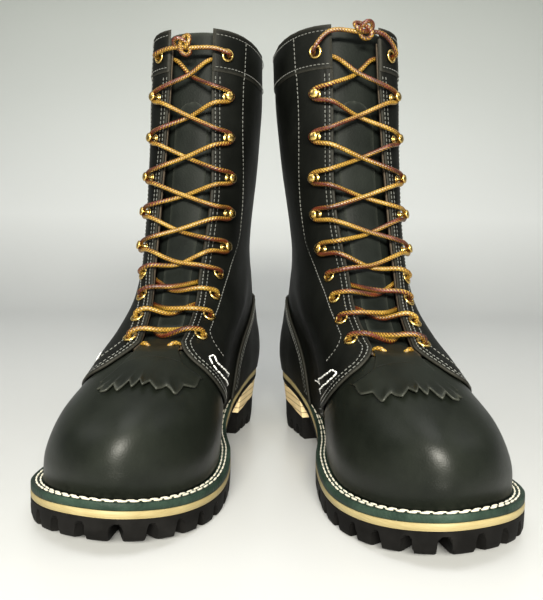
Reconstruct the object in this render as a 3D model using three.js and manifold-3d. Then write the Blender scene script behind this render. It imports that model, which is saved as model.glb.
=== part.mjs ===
// A pair of tall lace-up leather fire boots with lug soles, standing side by side.
// Millimetres, +Z up, toes towards -Y, the wearer's right boot on the -X side.
// The origin is on the ground under the middle of the pair.
//
// Every piece of the upper is a patch of one smooth surface, the outside of the lasted upper.
// A place on it is an angle round the boot (0 toe, 90 inside, 180 heel, 270 outside) and a
// height fraction (0 at the sole, 1 at the collar). Each piece has an inner and an outer
// distance from that surface. The boot is drawn as a right one, with +X to its inside.

import * as THREE from "three";
import { mergeVertices } from "three/addons/utils/BufferGeometryUtils.js";
import Module from "manifold-3d";

const wasm = await Module();
wasm.setup();

// ---------------------------------------------------------------- driving dimensions

// Where each boot stands, how far its toe turns out, and how its shaft settles.
const BOOTS = [
  { name: "right", x: -61, y: 83.5, turn: -12.5, mirror: 1, lean: -3, spread: -2 },
  { name: "left", x: 54, y: 71.5, turn: 15, mirror: -1, lean: 2.5, spread: 3 },
];

const GAP = 0.3; // clearance between pieces that rest on each other

// Outline of the upper where it meets the sole: angle, x to the inside, y to the heel.
const FOOT_OUTLINE = [
  [0, 14, -231], [20, 33, -222], [42, 49, -197], [66, 56, -158],
  [90, 46.5, -108], [112, 27, -50], [138, 30.5, 22], [160, 28, 56],
  [180, 0, 71], [200, -27, 56], [222, -34, 22], [248, -41, -50],
  [270, -49, -105], [294, -52, -152], [317, -44, -193], [340, -17, -222],
];
const FOOT_HALF_WIDTH = 55.5;
const TOE_Y = -231;
const HEEL_Y = 71;

// Stations up the upper: height fraction, front y, front z, back y, back z, half width,
// roundness (0 the foot outline, 1 an oval) and shift to the inside.
const UPPER_STATIONS = [
  [0.00, -231, 31, 71, 55, 55.5, 0.00, 0],
  [0.07, -235, 47, 75, 69, 55.0, 0.00, 3],
  [0.15, -228, 68, 77, 84, 50.0, 0.05, 7],
  [0.23, -207, 84, 77, 97, 42.5, 0.20, 10],
  [0.31, -178, 95, 75, 110, 40.0, 0.40, 8],
  [0.39, -145, 107, 72, 124, 39.0, 0.60, 6],
  [0.47, -110, 126, 68, 140, 37.5, 0.80, 3],
  [0.55, -83, 152, 63, 160, 36.5, 1.00, -1],
  [0.63, -66, 182, 59, 184, 38.5, 1.00, -2],
  [0.75, -59, 228, 58, 228, 41.2, 1.00, 1],
  [0.88, -57, 285, 58, 280, 43.3, 1.00, 4],
  [1.00, -55, 338, 58, 326, 42.5, 1.00, 6],
];
const FRONT_ROUNDNESS = 2.6; // exponent of the oval's front half, squarer than an ellipse
const BACK_ROUNDNESS = 2.1;
const SHAFT_START = 0.5; // height fraction where lean and spread begin
const SHAFT_HALF_WIDTH = 40;
const SOLE_BLEND = 0.32; // height fraction where loops stop following the sole's curve

// Sole: layers from the ground up.
const TOE_SPRING = { from: -160, length: 78, rise: 10 };
const LUG_SOLE = { thickness: 13, end: -58 };
const MIDSOLE_THICKNESS = 5;
const WELT = { thickness: 3.7, thin: 0.8, taper: -34, end: -4, under: 2.4 };
const INSOLE_THICKNESS = 3.2;
const SHANK = { from: -62, to: 40, width: 18, thickness: 2.2 };
const HEEL_BREAST_Y = 4;
const SHANK_BOTTOM = spline([[-58, 8], [-40, 13.5], [-15, 25], [4, 33.5], [40, 39.5], [76, 44.5]]);
const SHANK_TOP = spline([[-90, 13], [-58, 13], [-40, 19.5], [-15, 31], [4, 39], [40, 45], [76, 50]]);
const HEEL_RUBBER_TOP = spline([[4, 19], [76, 29]]);
const FOREFOOT_EDGE = 7.5; // how far the sole stands out round the forefoot
const HEEL_EDGE = 3.2;
const HEEL_INSET = { lift: 1.6, rubber: 4 };
const LUG_SPACING = 17.5;
const LUG_NOTCH = { width: 5, depth: 17, height: 8.5 };

// Leather layers, as distances from the surface of the upper.
const VAMP = { inner: -2.2, outer: 0, throat: 0.352, skived: 1.4 };
const QUARTER = { inner: 0.3, outer: 2.3, top: 0.985 };
const OVERLAY = { inner: 3.8, outer: 5 };
const STAY = { inner: -3.1, outer: -1.6, width: 17.5, low: 0.362, high: 0.975 };
const TOE_BOX = { inner: -5.9, outer: -4.3 };
const TONGUE = { inner: -11.4, outer: -8.9, root: 0.37, top: 1.0 };
const COUNTER_TOP = 0.37;
const COLLAR_SEAM = 0.925;
const KILTIE = { inner: 1.0, outer: 2.4, top: 0.396, hinge: 0.334, slit: 0.006, fringe: 0.262 };
const KILTIE_FOLD = { bend: 0.00011, half: 17.5 };

// Throat: where the facings part, from the ridge of the upper towards the inside.
const THROAT_TOP = 0.375;
const FACING_CENTRE = spline([[0.2, 4], [0.3, 5], [0.38, 5], [0.6, 3], [1, 2]]);
const FACING_GAP = spline([[0.375, 13], [0.43, 14.5], [0.53, 17], [0.6, 19], [0.7, 20.5], [0.8, 19], [0.9, 17.5], [1, 17]]);
// Front edge of the wings below the throat: height fraction, angle.
const INSIDE_WING = spline([[0, 118], [0.08, 101], [0.15, 80], [0.23, 60], [0.27, 50], [0.31, 39], [0.35, 29], [0.375, 24]]);
const OUTSIDE_WING = spline([[0, -116], [0.08, -95], [0.15, -70], [0.23, -44], [0.27, -31], [0.31, -20], [0.35, -12], [0.375, -8]]);

// Lacing rows: height fraction and distance from the throat's middle line.
const EYELETS = [[0.381, 21], [0.432, 22.5], [0.483, 24], [0.53, 26]];
const HOOKS = [[0.588, 28], [0.662, 29.5], [0.736, 29.5], [0.81, 28], [0.882, 27]];
const TOP_EYELET = [0.955, 26.5];
const EYELET = { bore: 3, barrel: 3.7, flange: 5, hole: 4.4, lift: 0.6, sides: 7 };
const HOOK = { base: 4.6, neck: 1.7, head: 3.4, baseHeight: 1, neckTop: 6.4, height: 7.8, sides: 7 };
const LACE_RADIUS = 2.1;
const LACE_SIDES = 6;
const HOOK_LACE = { height: 6.5, reach: 4.4, side: 0.8, half: 4.3 };
const KILTIE_SLOT = { row: 0.376, x: 8, radius: 2 };

// ---------------------------------------------------------------- materials

function material(color, roughness, metalness = 0) {
  return new THREE.MeshStandardMaterial({ color, roughness, metalness });
}

const LEATHER = material(0x1b1c1a, 0.55);
const EDGE_LEATHER = material(0x24251f, 0.7);
const NATURAL_LEATHER = material(0xc9a873, 0.65);
const RUBBER = material(0x141414, 0.8);
const WELT_LEATHER = material(0x22302a, 0.7);
const BRASS = material(0xc9a24a, 0.3, 1);
const STEEL = material(0x8f9396, 0.4, 1);
const LACE = material(0xd9a441, 0.85);

// ---------------------------------------------------------------- curves

function hermite(a, slopeA, b, slopeB, s) {
  const s2 = s * s;
  const s3 = s2 * s;
  return a * (2 * s3 - 3 * s2 + 1) + slopeA * (s3 - 2 * s2 + s) + b * (3 * s2 - 2 * s3) + slopeB * (s3 - s2);
}

// A smooth curve through rows of [place, value, ...]. With a period it closes on itself.
// It gives a number where each row holds one value, and a list where it holds more.
function spline(knots, period = 0) {
  const rows = period === 0 ? knots : [
    ...knots.slice(-2).map(([at, ...values]) => [at - period, ...values]),
    ...knots,
    ...knots.slice(0, 2).map(([at, ...values]) => [at + period, ...values]),
  ];
  const last = rows.length - 1;
  const rise = (i, c) => (rows[i + 1][c] - rows[i][c]) / (rows[i + 1][0] - rows[i][0]);
  function slope(i, c) {
    if (i === 0) return rise(0, c);
    if (i === last) return rise(last - 1, c);
    const before = rows[i][0] - rows[i - 1][0];
    const after = rows[i + 1][0] - rows[i][0];
    return (rise(i - 1, c) * after + rise(i, c) * before) / (before + after);
  }
  const columns = rows[0].length - 1;
  return (at) => {
    let i = 0;
    while (i < last - 1 && at >= rows[i + 1][0]) i += 1;
    const span = rows[i + 1][0] - rows[i][0];
    const s = (at - rows[i][0]) / span;
    const values = [];
    for (let c = 1; c <= columns; c += 1) {
      values.push(hermite(rows[i][c], span * slope(i, c), rows[i + 1][c], span * slope(i + 1, c), s));
    }
    return columns === 1 ? values[0] : values;
  };
}

const mix = (a, b, s) => a + (b - a) * s;
const clamp01 = (value) => Math.min(1, Math.max(0, value));
const toRadians = THREE.MathUtils.degToRad;
const signedPower = (value, power) => Math.sign(value) * Math.abs(value) ** power;

// ---------------------------------------------------------------- sole profile

function toeSpring(y) {
  const s = Math.max(0, (TOE_SPRING.from - y) / TOE_SPRING.length);
  return TOE_SPRING.rise * s * s;
}

const lugBottom = (y) => (y < LUG_SOLE.end ? toeSpring(y) : SHANK_BOTTOM(y));
const lugTop = (y) => (y < LUG_SOLE.end ? toeSpring(y) + LUG_SOLE.thickness : SHANK_TOP(y));
const midsoleTop = (y) => lugTop(y) + GAP + MIDSOLE_THICKNESS;

function weltTop(y) {
  const thinning = clamp01((y - WELT.taper) / (WELT.end - WELT.taper));
  return midsoleTop(y) + GAP + mix(WELT.thickness, WELT.thin, thinning);
}

// Height of the upper's lower edge, which rests on the welt.
const featherHeight = (y) => weltTop(y) + 3 * GAP;

// ---------------------------------------------------------------- the boot's surface

const footOutline = spline(FOOT_OUTLINE, 360);
const upperStation = spline(UPPER_STATIONS);

function makeSurface({ lean, spread }) {
  function point(theta, t) {
    const [footX, footY] = footOutline(((theta % 360) + 360) % 360);
    const [frontY, frontZ, backY, backZ, halfWidth, roundness, shift] = upperStation(t);
    const shaft = clamp01((t - SHAFT_START) / (1 - SHAFT_START));
    const round = clamp01(roundness);
    const angle = toRadians(theta);
    const power = 2 / (Math.cos(angle) > 0 ? FRONT_ROUNDNESS : BACK_ROUNDNESS);
    const ovalAcross = signedPower(Math.sin(angle), power);
    const ovalAlong = (1 - signedPower(Math.cos(angle), power)) / 2;
    const across = mix(footX / FOOT_HALF_WIDTH, ovalAcross, round);
    const along = mix((footY - TOE_Y) / (HEEL_Y - TOE_Y), ovalAlong, round);
    const heelShare = (1 - round) * along * 0.7;
    const x = (halfWidth + spread * shaft) * across + shift * (1 - heelShare) + lean * shaft;
    const y = mix(frontY, backY, along);
    const chord = mix(31, 55, (y - TOE_Y) / (HEEL_Y - TOE_Y));
    const sole = clamp01(1 - t / SOLE_BLEND) ** 1.5;
    const z = mix(frontZ, backZ, along) + sole * (featherHeight(y) - chord);
    return new THREE.Vector3(x, y, z);
  }

  // Outward direction. It is level at the sole, so that lower edges stay level.
  function normal(theta, t) {
    const alongTheta = point(theta + 1, t).sub(point(theta - 1, t));
    const alongHeight = point(theta, t + 0.005).sub(point(theta, t - 0.005));
    const n = alongTheta.cross(alongHeight).normalize();
    n.z *= clamp01(t / 0.06);
    return n.normalize();
  }

  function skin(theta, t, distance) {
    return point(theta, t).addScaledVector(normal(theta, t), distance);
  }

  // Angle of a place on the front that lies x to the inside of the throat's middle line.
  function frontAngle(t, distance) {
    const shaft = clamp01((t - SHAFT_START) / (1 - SHAFT_START));
    const x = distance * (1 + (spread * shaft) / SHAFT_HALF_WIDTH);
    const ridge = point(0, t).x + FACING_CENTRE(t);
    let low = -85;
    let high = 85;
    for (let i = 0; i < 24; i += 1) {
      const middle = (low + high) / 2;
      if (point(middle, t).x - ridge < x) low = middle;
      else high = middle;
    }
    return (low + high) / 2;
  }

  const front = (t, x, distance) => skin(frontAngle(t, x), t, distance);
  return { point, normal, skin, frontAngle, front };
}

// ---------------------------------------------------------------- solids

function geometryFrom(points, triangles) {
  const geometry = new THREE.BufferGeometry();
  geometry.setAttribute("position", new THREE.Float32BufferAttribute(points.flatMap((p) => [p.x, p.y, p.z]), 3));
  geometry.setIndex(triangles);
  return geometry;
}

const quad = (a, b, c, d) => [a, b, c, a, c, d];

// Two triangles over four points, split along the shorter diagonal.
function shortQuad(points, a, b, c, d) {
  const first = points[a].distanceTo(points[c]);
  const second = points[b].distanceTo(points[d]);
  return first <= second ? quad(a, b, c, d) : quad(b, c, d, a);
}

// A closed sheet with thickness. outside(u, v) and inside(u, v) give its two faces.
function sheet(outside, inside, across, up) {
  const points = [];
  const triangles = [];
  const row = across + 1;
  const layer = row * (up + 1);
  for (const face of [outside, inside]) {
    for (let j = 0; j <= up; j += 1) {
      for (let i = 0; i <= across; i += 1) points.push(face(i / across, j / up));
    }
  }
  const at = (i, j, side) => side * layer + j * row + i;
  for (let j = 0; j < up; j += 1) {
    for (let i = 0; i < across; i += 1) {
      const [a, b, c, d] = [at(i, j, 0), at(i + 1, j, 0), at(i + 1, j + 1, 0), at(i, j + 1, 0)];
      triangles.push(...shortQuad(points, a, b, c, d));
      triangles.push(...shortQuad(points, a + layer, d + layer, c + layer, b + layer));
    }
  }
  for (let i = 0; i < across; i += 1) {
    triangles.push(...quad(at(i, 0, 1), at(i + 1, 0, 1), at(i + 1, 0, 0), at(i, 0, 0)));
    triangles.push(...quad(at(i, up, 0), at(i + 1, up, 0), at(i + 1, up, 1), at(i, up, 1)));
  }
  for (let j = 0; j < up; j += 1) {
    triangles.push(...quad(at(0, j, 1), at(0, j, 0), at(0, j + 1, 0), at(0, j + 1, 1)));
    triangles.push(...quad(at(across, j, 0), at(across, j, 1), at(across, j + 1, 1), at(across, j + 1, 0)));
  }
  return geometryFrom(points, triangles);
}

// A leather patch of the upper between two distances from its surface.
function patch(surface, place, layer, across, up) {
  const face = (distance) => (u, v) => {
    const [theta, t] = place(u, v);
    return surface.skin(theta, t, typeof distance === "function" ? distance(theta, t) : distance);
  };
  return sheet(face(layer.outer), face(layer.inner), across, up);
}

// Half the outline of a sole layer: x at a given y, standing out from the foot by margin(y).
function soleOutline(margin) {
  const sides = [1, -1].map((side) => {
    const rim = [];
    for (let angle = 0; angle <= 180; angle += 4) {
      const theta = side > 0 ? angle : 360 - angle;
      const [x, y] = footOutline(theta);
      const [aheadX, aheadY] = footOutline((theta + 2) % 360);
      const [behindX, behindY] = footOutline((theta + 358) % 360);
      const out = new THREE.Vector2(aheadY - behindY, behindX - aheadX).normalize();
      rim.push([x + out.x * margin(y), y + out.y * margin(y)]);
    }
    return rim;
  });
  const xAt = (rim, y) => {
    let i = 0;
    while (i < rim.length - 2 && rim[i + 1][1] < y) i += 1;
    const [x0, y0] = rim[i];
    const [x1, y1] = rim[i + 1];
    return mix(x0, x1, clamp01((y - y0) / (y1 - y0)));
  };
  return {
    inside: (y) => xAt(sides[0], y),
    outside: (y) => xAt(sides[1], y),
    front: sides[0][0][1],
    back: sides[0][sides[0].length - 1][1],
    rim: [...sides[0]].reverse().concat(sides[1].slice(1)),
  };
}

const soleEdge = (y) => mix(FOREFOOT_EDGE, HEEL_EDGE, clamp01((y + 60) / 45));

// Places along the boot that the sole's layers share, so that they stack without touching.
const SOLE_STATIONS = [
  -234, -228, -220, -209, -196, -180, -160, -135, -105, -80, LUG_SOLE.end,
  -45, WELT.taper, -20, WELT.end, HEEL_BREAST_Y, 15, 28, 40, 50, 58, 64, 69,
];

// A level-sided layer of the sole between two heights that depend on y.
function soleLayer(outline, from, to, bottom, top) {
  const stations = [from, ...SOLE_STATIONS.filter((y) => y > from + 1 && y < to - 1), to];
  const points = [];
  const triangles = [];
  for (const y of stations) {
    const [inside, outside] = [outline.inside(y), outline.outside(y)];
    points.push(new THREE.Vector3(outside, y, bottom(y)), new THREE.Vector3(inside, y, bottom(y)));
    points.push(new THREE.Vector3(inside, y, top(y)), new THREE.Vector3(outside, y, top(y)));
  }
  for (let i = 0; i < stations.length - 1; i += 1) {
    const a = i * 4;
    for (let k = 0; k < 4; k += 1) {
      const next = (k + 1) % 4;
      triangles.push(...quad(a + k, a + 4 + k, a + 4 + next, a + next));
    }
  }
  const end = (stations.length - 1) * 4;
  triangles.push(...quad(0, 1, 2, 3), ...quad(end + 3, end + 2, end + 1, end));
  return geometryFrom(points, triangles);
}

function toSolid(geometry) {
  const bare = geometry.clone();
  bare.deleteAttribute("normal");
  bare.deleteAttribute("uv");
  const merged = mergeVertices(bare, 1e-4);
  return new wasm.Manifold(new wasm.Mesh({
    numProp: 3,
    vertProperties: new Float32Array(merged.attributes.position.array),
    triVerts: new Uint32Array(merged.index.array),
  }));
}

function toGeometry(solid) {
  const { vertProperties, triVerts } = solid.getMesh();
  const geometry = new THREE.BufferGeometry();
  geometry.setAttribute("position", new THREE.BufferAttribute(vertProperties, 3));
  geometry.setIndex(new THREE.BufferAttribute(triVerts, 1));
  return geometry;
}

const cut = (geometry, tools) => toGeometry(tools.reduce((solid, tool) => solid.subtract(toSolid(tool)), toSolid(geometry)));
const join = (geometry, pieces) => toGeometry(pieces.reduce((solid, piece) => solid.add(toSolid(piece)), toSolid(geometry)));

// Turns a piece made along +Y so that it stands on the upper, pointing outwards.
function standOn(geometry, position, direction) {
  const turn = new THREE.Quaternion().setFromUnitVectors(new THREE.Vector3(0, 1, 0), direction);
  return geometry.applyQuaternion(turn).translate(position.x, position.y, position.z);
}

function lathe(profile, sides) {
  return new THREE.LatheGeometry(profile.map(([x, y]) => new THREE.Vector2(x, y)), sides);
}

// A path of straight runs, with a ring of the swept tube at each of its points.
class RunPath extends THREE.Curve {
  constructor(points) {
    super();
    this.points = points;
  }

  getPoint(u) {
    const place = clamp01(u) * (this.points.length - 1);
    const i = Math.min(this.points.length - 2, Math.floor(place));
    return this.points[i].clone().lerp(this.points[i + 1], place - i);
  }

  getTangent(u) {
    const last = this.points.length - 1;
    const i = Math.round(clamp01(u) * last);
    const here = this.points[i];
    const ahead = this.points[Math.min(last, i + 1)].clone().sub(here).normalize();
    const behind = here.clone().sub(this.points[Math.max(0, i - 1)]).normalize();
    return ahead.add(behind).normalize();
  }

  getPointAt(u) {
    return this.getPoint(u);
  }

  getTangentAt(u) {
    return this.getTangent(u);
  }
}

function sweep(points, radius, sides) {
  const section = new THREE.Shape();
  for (let i = 0; i < sides; i += 1) {
    const angle = (i / sides) * Math.PI * 2;
    const move = i === 0 ? "moveTo" : "lineTo";
    section[move](Math.cos(angle) * radius, Math.sin(angle) * radius);
  }
  section.closePath();
  return new THREE.ExtrudeGeometry(section, { steps: points.length - 1, extrudePath: new RunPath(points), curveSegments: 1 });
}

// ---------------------------------------------------------------- sole unit

// Notches cut into the tread's edge at even steps along its rim.
function treadNotches(outline, keep, bottom) {
  const notches = [];
  let travelled = LUG_SPACING / 2;
  for (let i = 1; i < outline.rim.length; i += 1) {
    const [x0, y0] = outline.rim[i - 1];
    const [x1, y1] = outline.rim[i];
    const run = new THREE.Vector2(x1 - x0, y1 - y0);
    const length = run.length();
    while (travelled < length) {
      const place = new THREE.Vector2(x0, y0).lerp(new THREE.Vector2(x1, y1), travelled / length);
      if (keep(place.y)) {
        const box = new THREE.BoxGeometry(LUG_NOTCH.width, LUG_NOTCH.depth, LUG_NOTCH.height * 2);
        box.rotateZ(Math.atan2(run.y, run.x));
        notches.push(box.translate(place.x, place.y, bottom(place.y)));
      }
      travelled += LUG_SPACING;
    }
    travelled -= length;
  }
  return notches;
}

function soleUnit() {
  const outline = soleOutline(soleEdge);
  const heelOutline = soleOutline((y) => soleEdge(y) - HEEL_INSET.rubber);
  const liftOutline = soleOutline((y) => soleEdge(y) - HEEL_INSET.lift);
  const weltInner = soleOutline(() => -WELT.under);
  const insoleOutline = soleOutline(() => -4.4);
  const { front, back } = outline;
  const outsole = soleLayer(outline, front, back, lugBottom, lugTop);
  const tread = treadNotches(outline, (y) => y < LUG_SOLE.end - 6, lugBottom);
  const liftBottom = (y) => HEEL_RUBBER_TOP(y) + GAP;
  const liftTop = (y) => SHANK_BOTTOM(y) - GAP;
  const rubber = soleLayer(heelOutline, HEEL_BREAST_Y, heelOutline.back, () => 0, HEEL_RUBBER_TOP);
  const heelNotches = treadNotches(heelOutline, (y) => y > HEEL_BREAST_Y + 8, () => 0);
  const welt = soleLayer(outline, front, WELT.end, (y) => midsoleTop(y) + GAP, weltTop);
  const weltOpening = soleLayer(weltInner, weltInner.front, 40, () => -20, () => 90);
    const insoleBottom = (y) => midsoleTop(y) + 2 * GAP + SHANK.thickness;
  const insoleTop = (y) => insoleBottom(y) + INSOLE_THICKNESS;
  const shankStrip = { inside: () => SHANK.width / 2, outside: () => -SHANK.width / 2 };
  const shankBottom = (y) => midsoleTop(y) + GAP;
  return {
    outsole: [cut(outsole, tread), RUBBER],
    heel_toplift: [cut(rubber, heelNotches), RUBBER],
    heel_lift: [soleLayer(liftOutline, HEEL_BREAST_Y, liftOutline.back, liftBottom, liftTop), NATURAL_LEATHER],
    midsole: [soleLayer(outline, front, back, (y) => lugTop(y) + GAP, midsoleTop), NATURAL_LEATHER],
    welt: [cut(welt, [weltOpening]), WELT_LEATHER],
    insole: [soleLayer(insoleOutline, insoleOutline.front, insoleOutline.back, insoleBottom, insoleTop), NATURAL_LEATHER],
    shank: [soleLayer(shankStrip, SHANK.from, SHANK.to, shankBottom, (y) => shankBottom(y) + SHANK.thickness), STEEL],
  };
}

// ---------------------------------------------------------------- upper

function frontEdge(surface, t, side) {
  if (t >= THROAT_TOP) return surface.frontAngle(t, side * FACING_GAP(t));
  return side > 0 ? INSIDE_WING(t) : OUTSIDE_WING(t);
}

// Height fractions of the rows of points. They are close where a front edge runs slantwise.
const WING_ROWS = [0, 0.05, 0.09, 0.12, 0.15, 0.18, 0.21, 0.24, 0.275, 0.315, VAMP.throat];
const SHAFT_ROWS = [0.385, 0.43, 0.48, 0.53, 0.59, 0.66, 0.75, 0.87, QUARTER.top];

function evenRows(low, high, count) {
  return Array.from({ length: count + 1 }, (_, i) => mix(low, high, i / count));
}

// A patch between two edges that are each an angle at every height.
function panel(surface, from, to, layer, across, rows) {
  const place = (u, v) => {
    const t = rows[Math.round(v * (rows.length - 1))];
    return [mix(from(t), to(t), u), t];
  };
  return patch(surface, place, layer, across, rows.length - 1);
}

function hole(surface, row, x, radius) {
  const theta = surface.frontAngle(row, x);
  const tool = new THREE.CylinderGeometry(radius, radius, 30, EYELET.sides);
  return standOn(tool, surface.point(theta, row), surface.normal(theta, row));
}

function eyeletRing(surface, row, x, facing) {
  const theta = surface.frontAngle(row, x);
  const ring = lathe([
    [EYELET.bore, STAY.inner - 0.8],
    [EYELET.barrel, STAY.inner - 0.8],
    [EYELET.barrel, facing + EYELET.lift],
    [EYELET.flange, facing + EYELET.lift],
    [EYELET.bore, facing + EYELET.lift + 1],
    [EYELET.bore, STAY.inner - 0.8],
  ], EYELET.sides);
  return standOn(ring, surface.point(theta, row), surface.normal(theta, row));
}

function quarter(surface, side) {
  const back = side > 0 ? 179.5 : -179.5;
  const edge = (t) => frontEdge(surface, t, side);
  const [from, to] = side > 0 ? [edge, () => back] : [() => back, edge];
  const plain = panel(surface, from, to, QUARTER, 7, [...WING_ROWS, ...SHAFT_ROWS]);
  const eyelets = [...EYELETS, TOP_EYELET];
  return cut(plain, eyelets.map(([row, x]) => hole(surface, row, side * x, EYELET.hole)));
}

function facingStay(surface, side) {
  const inner = (t) => surface.frontAngle(t, side * (FACING_GAP(Math.max(t, THROAT_TOP)) + 0.5));
  const outer = (t) => surface.frontAngle(t, side * (FACING_GAP(Math.max(t, THROAT_TOP)) + STAY.width));
  const [from, to] = side > 0 ? [inner, outer] : [outer, inner];
  const strip = panel(surface, from, to, STAY, 2, evenRows(STAY.low, STAY.high, 12));
  const eyelets = [...EYELETS, TOP_EYELET];
  const bored = cut(strip, eyelets.map(([row, x]) => hole(surface, row, side * x, (EYELET.bore + EYELET.barrel) / 2)));
  const rings = eyelets.map(([row, x]) => {
    const facing = row > COLLAR_SEAM ? OVERLAY.outer : QUARTER.outer;
    return eyeletRing(surface, row, side * x, facing);
  });
  return join(bored, rings);
}

function collarBand(surface) {
  const inside = (t) => frontEdge(surface, t, 1);
  const outside = (t) => 360 + frontEdge(surface, t, -1);
  const [row, x] = TOP_EYELET;
  const band = panel(surface, inside, outside, OVERLAY, 22, [COLLAR_SEAM, 1]);
  return cut(band, [1, -1].map((side) => hole(surface, row, side * x, EYELET.hole)));
}

function counter(surface) {
  const edge = spline([[0, 108], [0.12, 112], [0.25, 124], [0.33, 136], [0.37, 146]]);
  return panel(surface, edge, (t) => 360 - edge(t), OVERLAY, 14, evenRows(0, COUNTER_TOP, 7));
}

function backstay(surface) {
  const halfAngle = spline([[0.385, 11], [0.6, 9], [0.915, 9]]);
  const rows = evenRows(0.385, COLLAR_SEAM - 0.01, 8);
  return panel(surface, (t) => 180 - halfAngle(t), (t) => 180 + halfAngle(t), OVERLAY, 2, rows);
}

function vamp(surface) {
  const inside = (t) => INSIDE_WING(t) + 14 * (1 - t);
  const outside = (t) => OUTSIDE_WING(t) - 14 * (1 - t);
  const covered = (theta, t) => {
    const past = Math.max(theta - INSIDE_WING(t), OUTSIDE_WING(t) - theta);
    return VAMP.skived * clamp01((past + 8) / 8);
  };
  const layer = { inner: VAMP.inner, outer: (theta, t) => VAMP.outer - covered(theta, t) };
  return panel(surface, outside, inside, layer, 16, WING_ROWS);
}

function toeBox(surface) {
  const halfAngle = spline([[0.02, 72], [0.15, 62], [0.24, 40]]);
  return panel(surface, (t) => -halfAngle(t), (t) => 8 + halfAngle(t), TOE_BOX, 8, evenRows(0.02, 0.24, 4));
}

// The tongue is flatter than the shaft's front, so that the laces can pass over it.
function tongue(surface) {
  const halfWidth = spline([[0.37, 17], [0.45, 21], [0.55, 27], [0.7, 33], [1, 34]]);
  const rows = evenRows(TONGUE.root, TONGUE.top, 12);
  const edge = (side) => (t) => surface.frontAngle(t, side * halfWidth(t));
  return panel(surface, edge(-1), edge(1), TONGUE, 4, rows);
}

const kiltieDrop = spline([[0.2, 0], [0.33, 0], [0.35, 0], [0.365, -1], [0.38, -2.6], [0.4, -4.4]]);

// Rows bend down at the sides, so that the fringe folds up along a straight line.
function kiltiePatch(surface, halfWidth, low, high, across, up) {
  const place = (u, v) => {
    const row = mix(low, high, v);
    const x = mix(-1, 1, u) * halfWidth(row);
    const fold = KILTIE_FOLD.bend * Math.min(Math.abs(x), KILTIE_FOLD.half) ** 2;
    const t = row - fold * clamp01((KILTIE.top - row) / (KILTIE.top - KILTIE.hinge));
    return [surface.frontAngle(t, x), t];
  };
  const layer = {
    inner: (theta, t) => KILTIE.inner + kiltieDrop(t),
    outer: (theta, t) => KILTIE.outer + kiltieDrop(t),
  };
  return patch(surface, place, layer, across, up);
}

function kiltieTop(surface) {
  const halfWidth = spline([[0.334, 16.5], [0.352, 13.8], [0.38, 11.6], [0.39, 9], [0.396, 5.5]]);
  const plain = kiltiePatch(surface, halfWidth, KILTIE.hinge + KILTIE.slit, KILTIE.top, 4, 5);
  const { row, x, radius } = KILTIE_SLOT;
  const slots = [1, -1].map((side) => hole(surface, row, side * x, radius));
  return cut(plain, slots);
}

function kiltieFringe(surface) {
  const halfWidth = spline([[0.235, 26], [0.275, 23], [0.31, 20], [0.334, 16.5]]);
  return kiltiePatch(surface, halfWidth, KILTIE.fringe, KILTIE.hinge, 6, 5);
}

// ---------------------------------------------------------------- hooks and lace

function hook(surface, row, x) {
  const profile = [
    [0, 0], [HOOK.base, 0], [HOOK.base, HOOK.baseHeight], [HOOK.neck, HOOK.baseHeight],
    [HOOK.neck, HOOK.neckTop], [HOOK.head, HOOK.neckTop], [HOOK.head - 0.6, HOOK.height], [0, HOOK.height],
  ];
  const theta = surface.frontAngle(row, x);
  const mesh = new THREE.Mesh(lathe(profile, HOOK.sides), BRASS);
  mesh.position.copy(surface.skin(theta, row, QUARTER.outer + GAP + 0.2));
  mesh.quaternion.setFromUnitVectors(new THREE.Vector3(0, 1, 0), surface.normal(theta, row));
  return mesh;
}

// The lace turns round the outer side of the neck, from below it to above it.
function roundHook(surface, row, x) {
  const theta = surface.frontAngle(row, x);
  const out = surface.normal(theta, row);
  const away = new THREE.Vector3(0, 0, Math.sign(x)).cross(out).normalize();
  const up = out.clone().cross(away).multiplyScalar(Math.sign(x)).normalize();
  const middle = surface.skin(theta, row, HOOK_LACE.height);
  const place = (beyond, above) => middle.clone().addScaledVector(away, beyond).addScaledVector(up, above);
  const { reach, half, side } = HOOK_LACE;
  return [place(side, -half), place(reach, 0), place(side, half)];
}

// One half of the lace, from the outside of a lowest eyelet up to the knot.
// side is +1 where it starts at the inside row. over is +1 for the half on top at crossings.
function laceHalf(surface, side, over) {
  const at = (row, x, distance) => surface.front(row, x, distance);
  const points = [];
  const crossing = over > 0 ? 2.7 : -2.1;
  const stops = [...EYELETS.map((stop) => ["eyelet", ...stop]), ...HOOKS.map((stop) => ["hook", ...stop])];
  stops.push(["eyelet", ...TOP_EYELET]);
  stops.forEach(([kind, row, x], i) => {
    const hand = i % 2 === 0 ? side : -side;
    const next = stops[i + 1];
    const facing = row > COLLAR_SEAM ? OVERLAY.outer : QUARTER.outer;
    if (kind === "eyelet") {
      if (i > 0) points.push(at(row, hand * x, -5.7));
      points.push(at(row, hand * x, facing + 3.7));
    } else {
      points.push(...roundHook(surface, row, hand * x));
    }
    if (!next) {
      points.push(at(KNOT.row, hand * (FACING_GAP(row) + 1), 7.8));
      return;
    }
    const [nextKind, nextRow] = next;
    const edge = FACING_GAP(row) + 1;
    const nextEdge = FACING_GAP(nextRow);
    const middle = (row + nextRow) / 2;
    points.push(at(mix(row, nextRow, 0.2), hand * edge, 7.7));
    points.push(at(middle, 0, crossing));
    if (nextKind === "hook") points.push(at(mix(row, nextRow, 0.8), -hand * (nextEdge + 1), 7.7));
    else points.push(at(mix(row, nextRow, 0.9), -hand * (nextEdge - 2.5), -4.6));
  });
  return points;
}

const KNOT = { row: 0.985, x: -4, distance: 7, radius: 8.5 };

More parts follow.
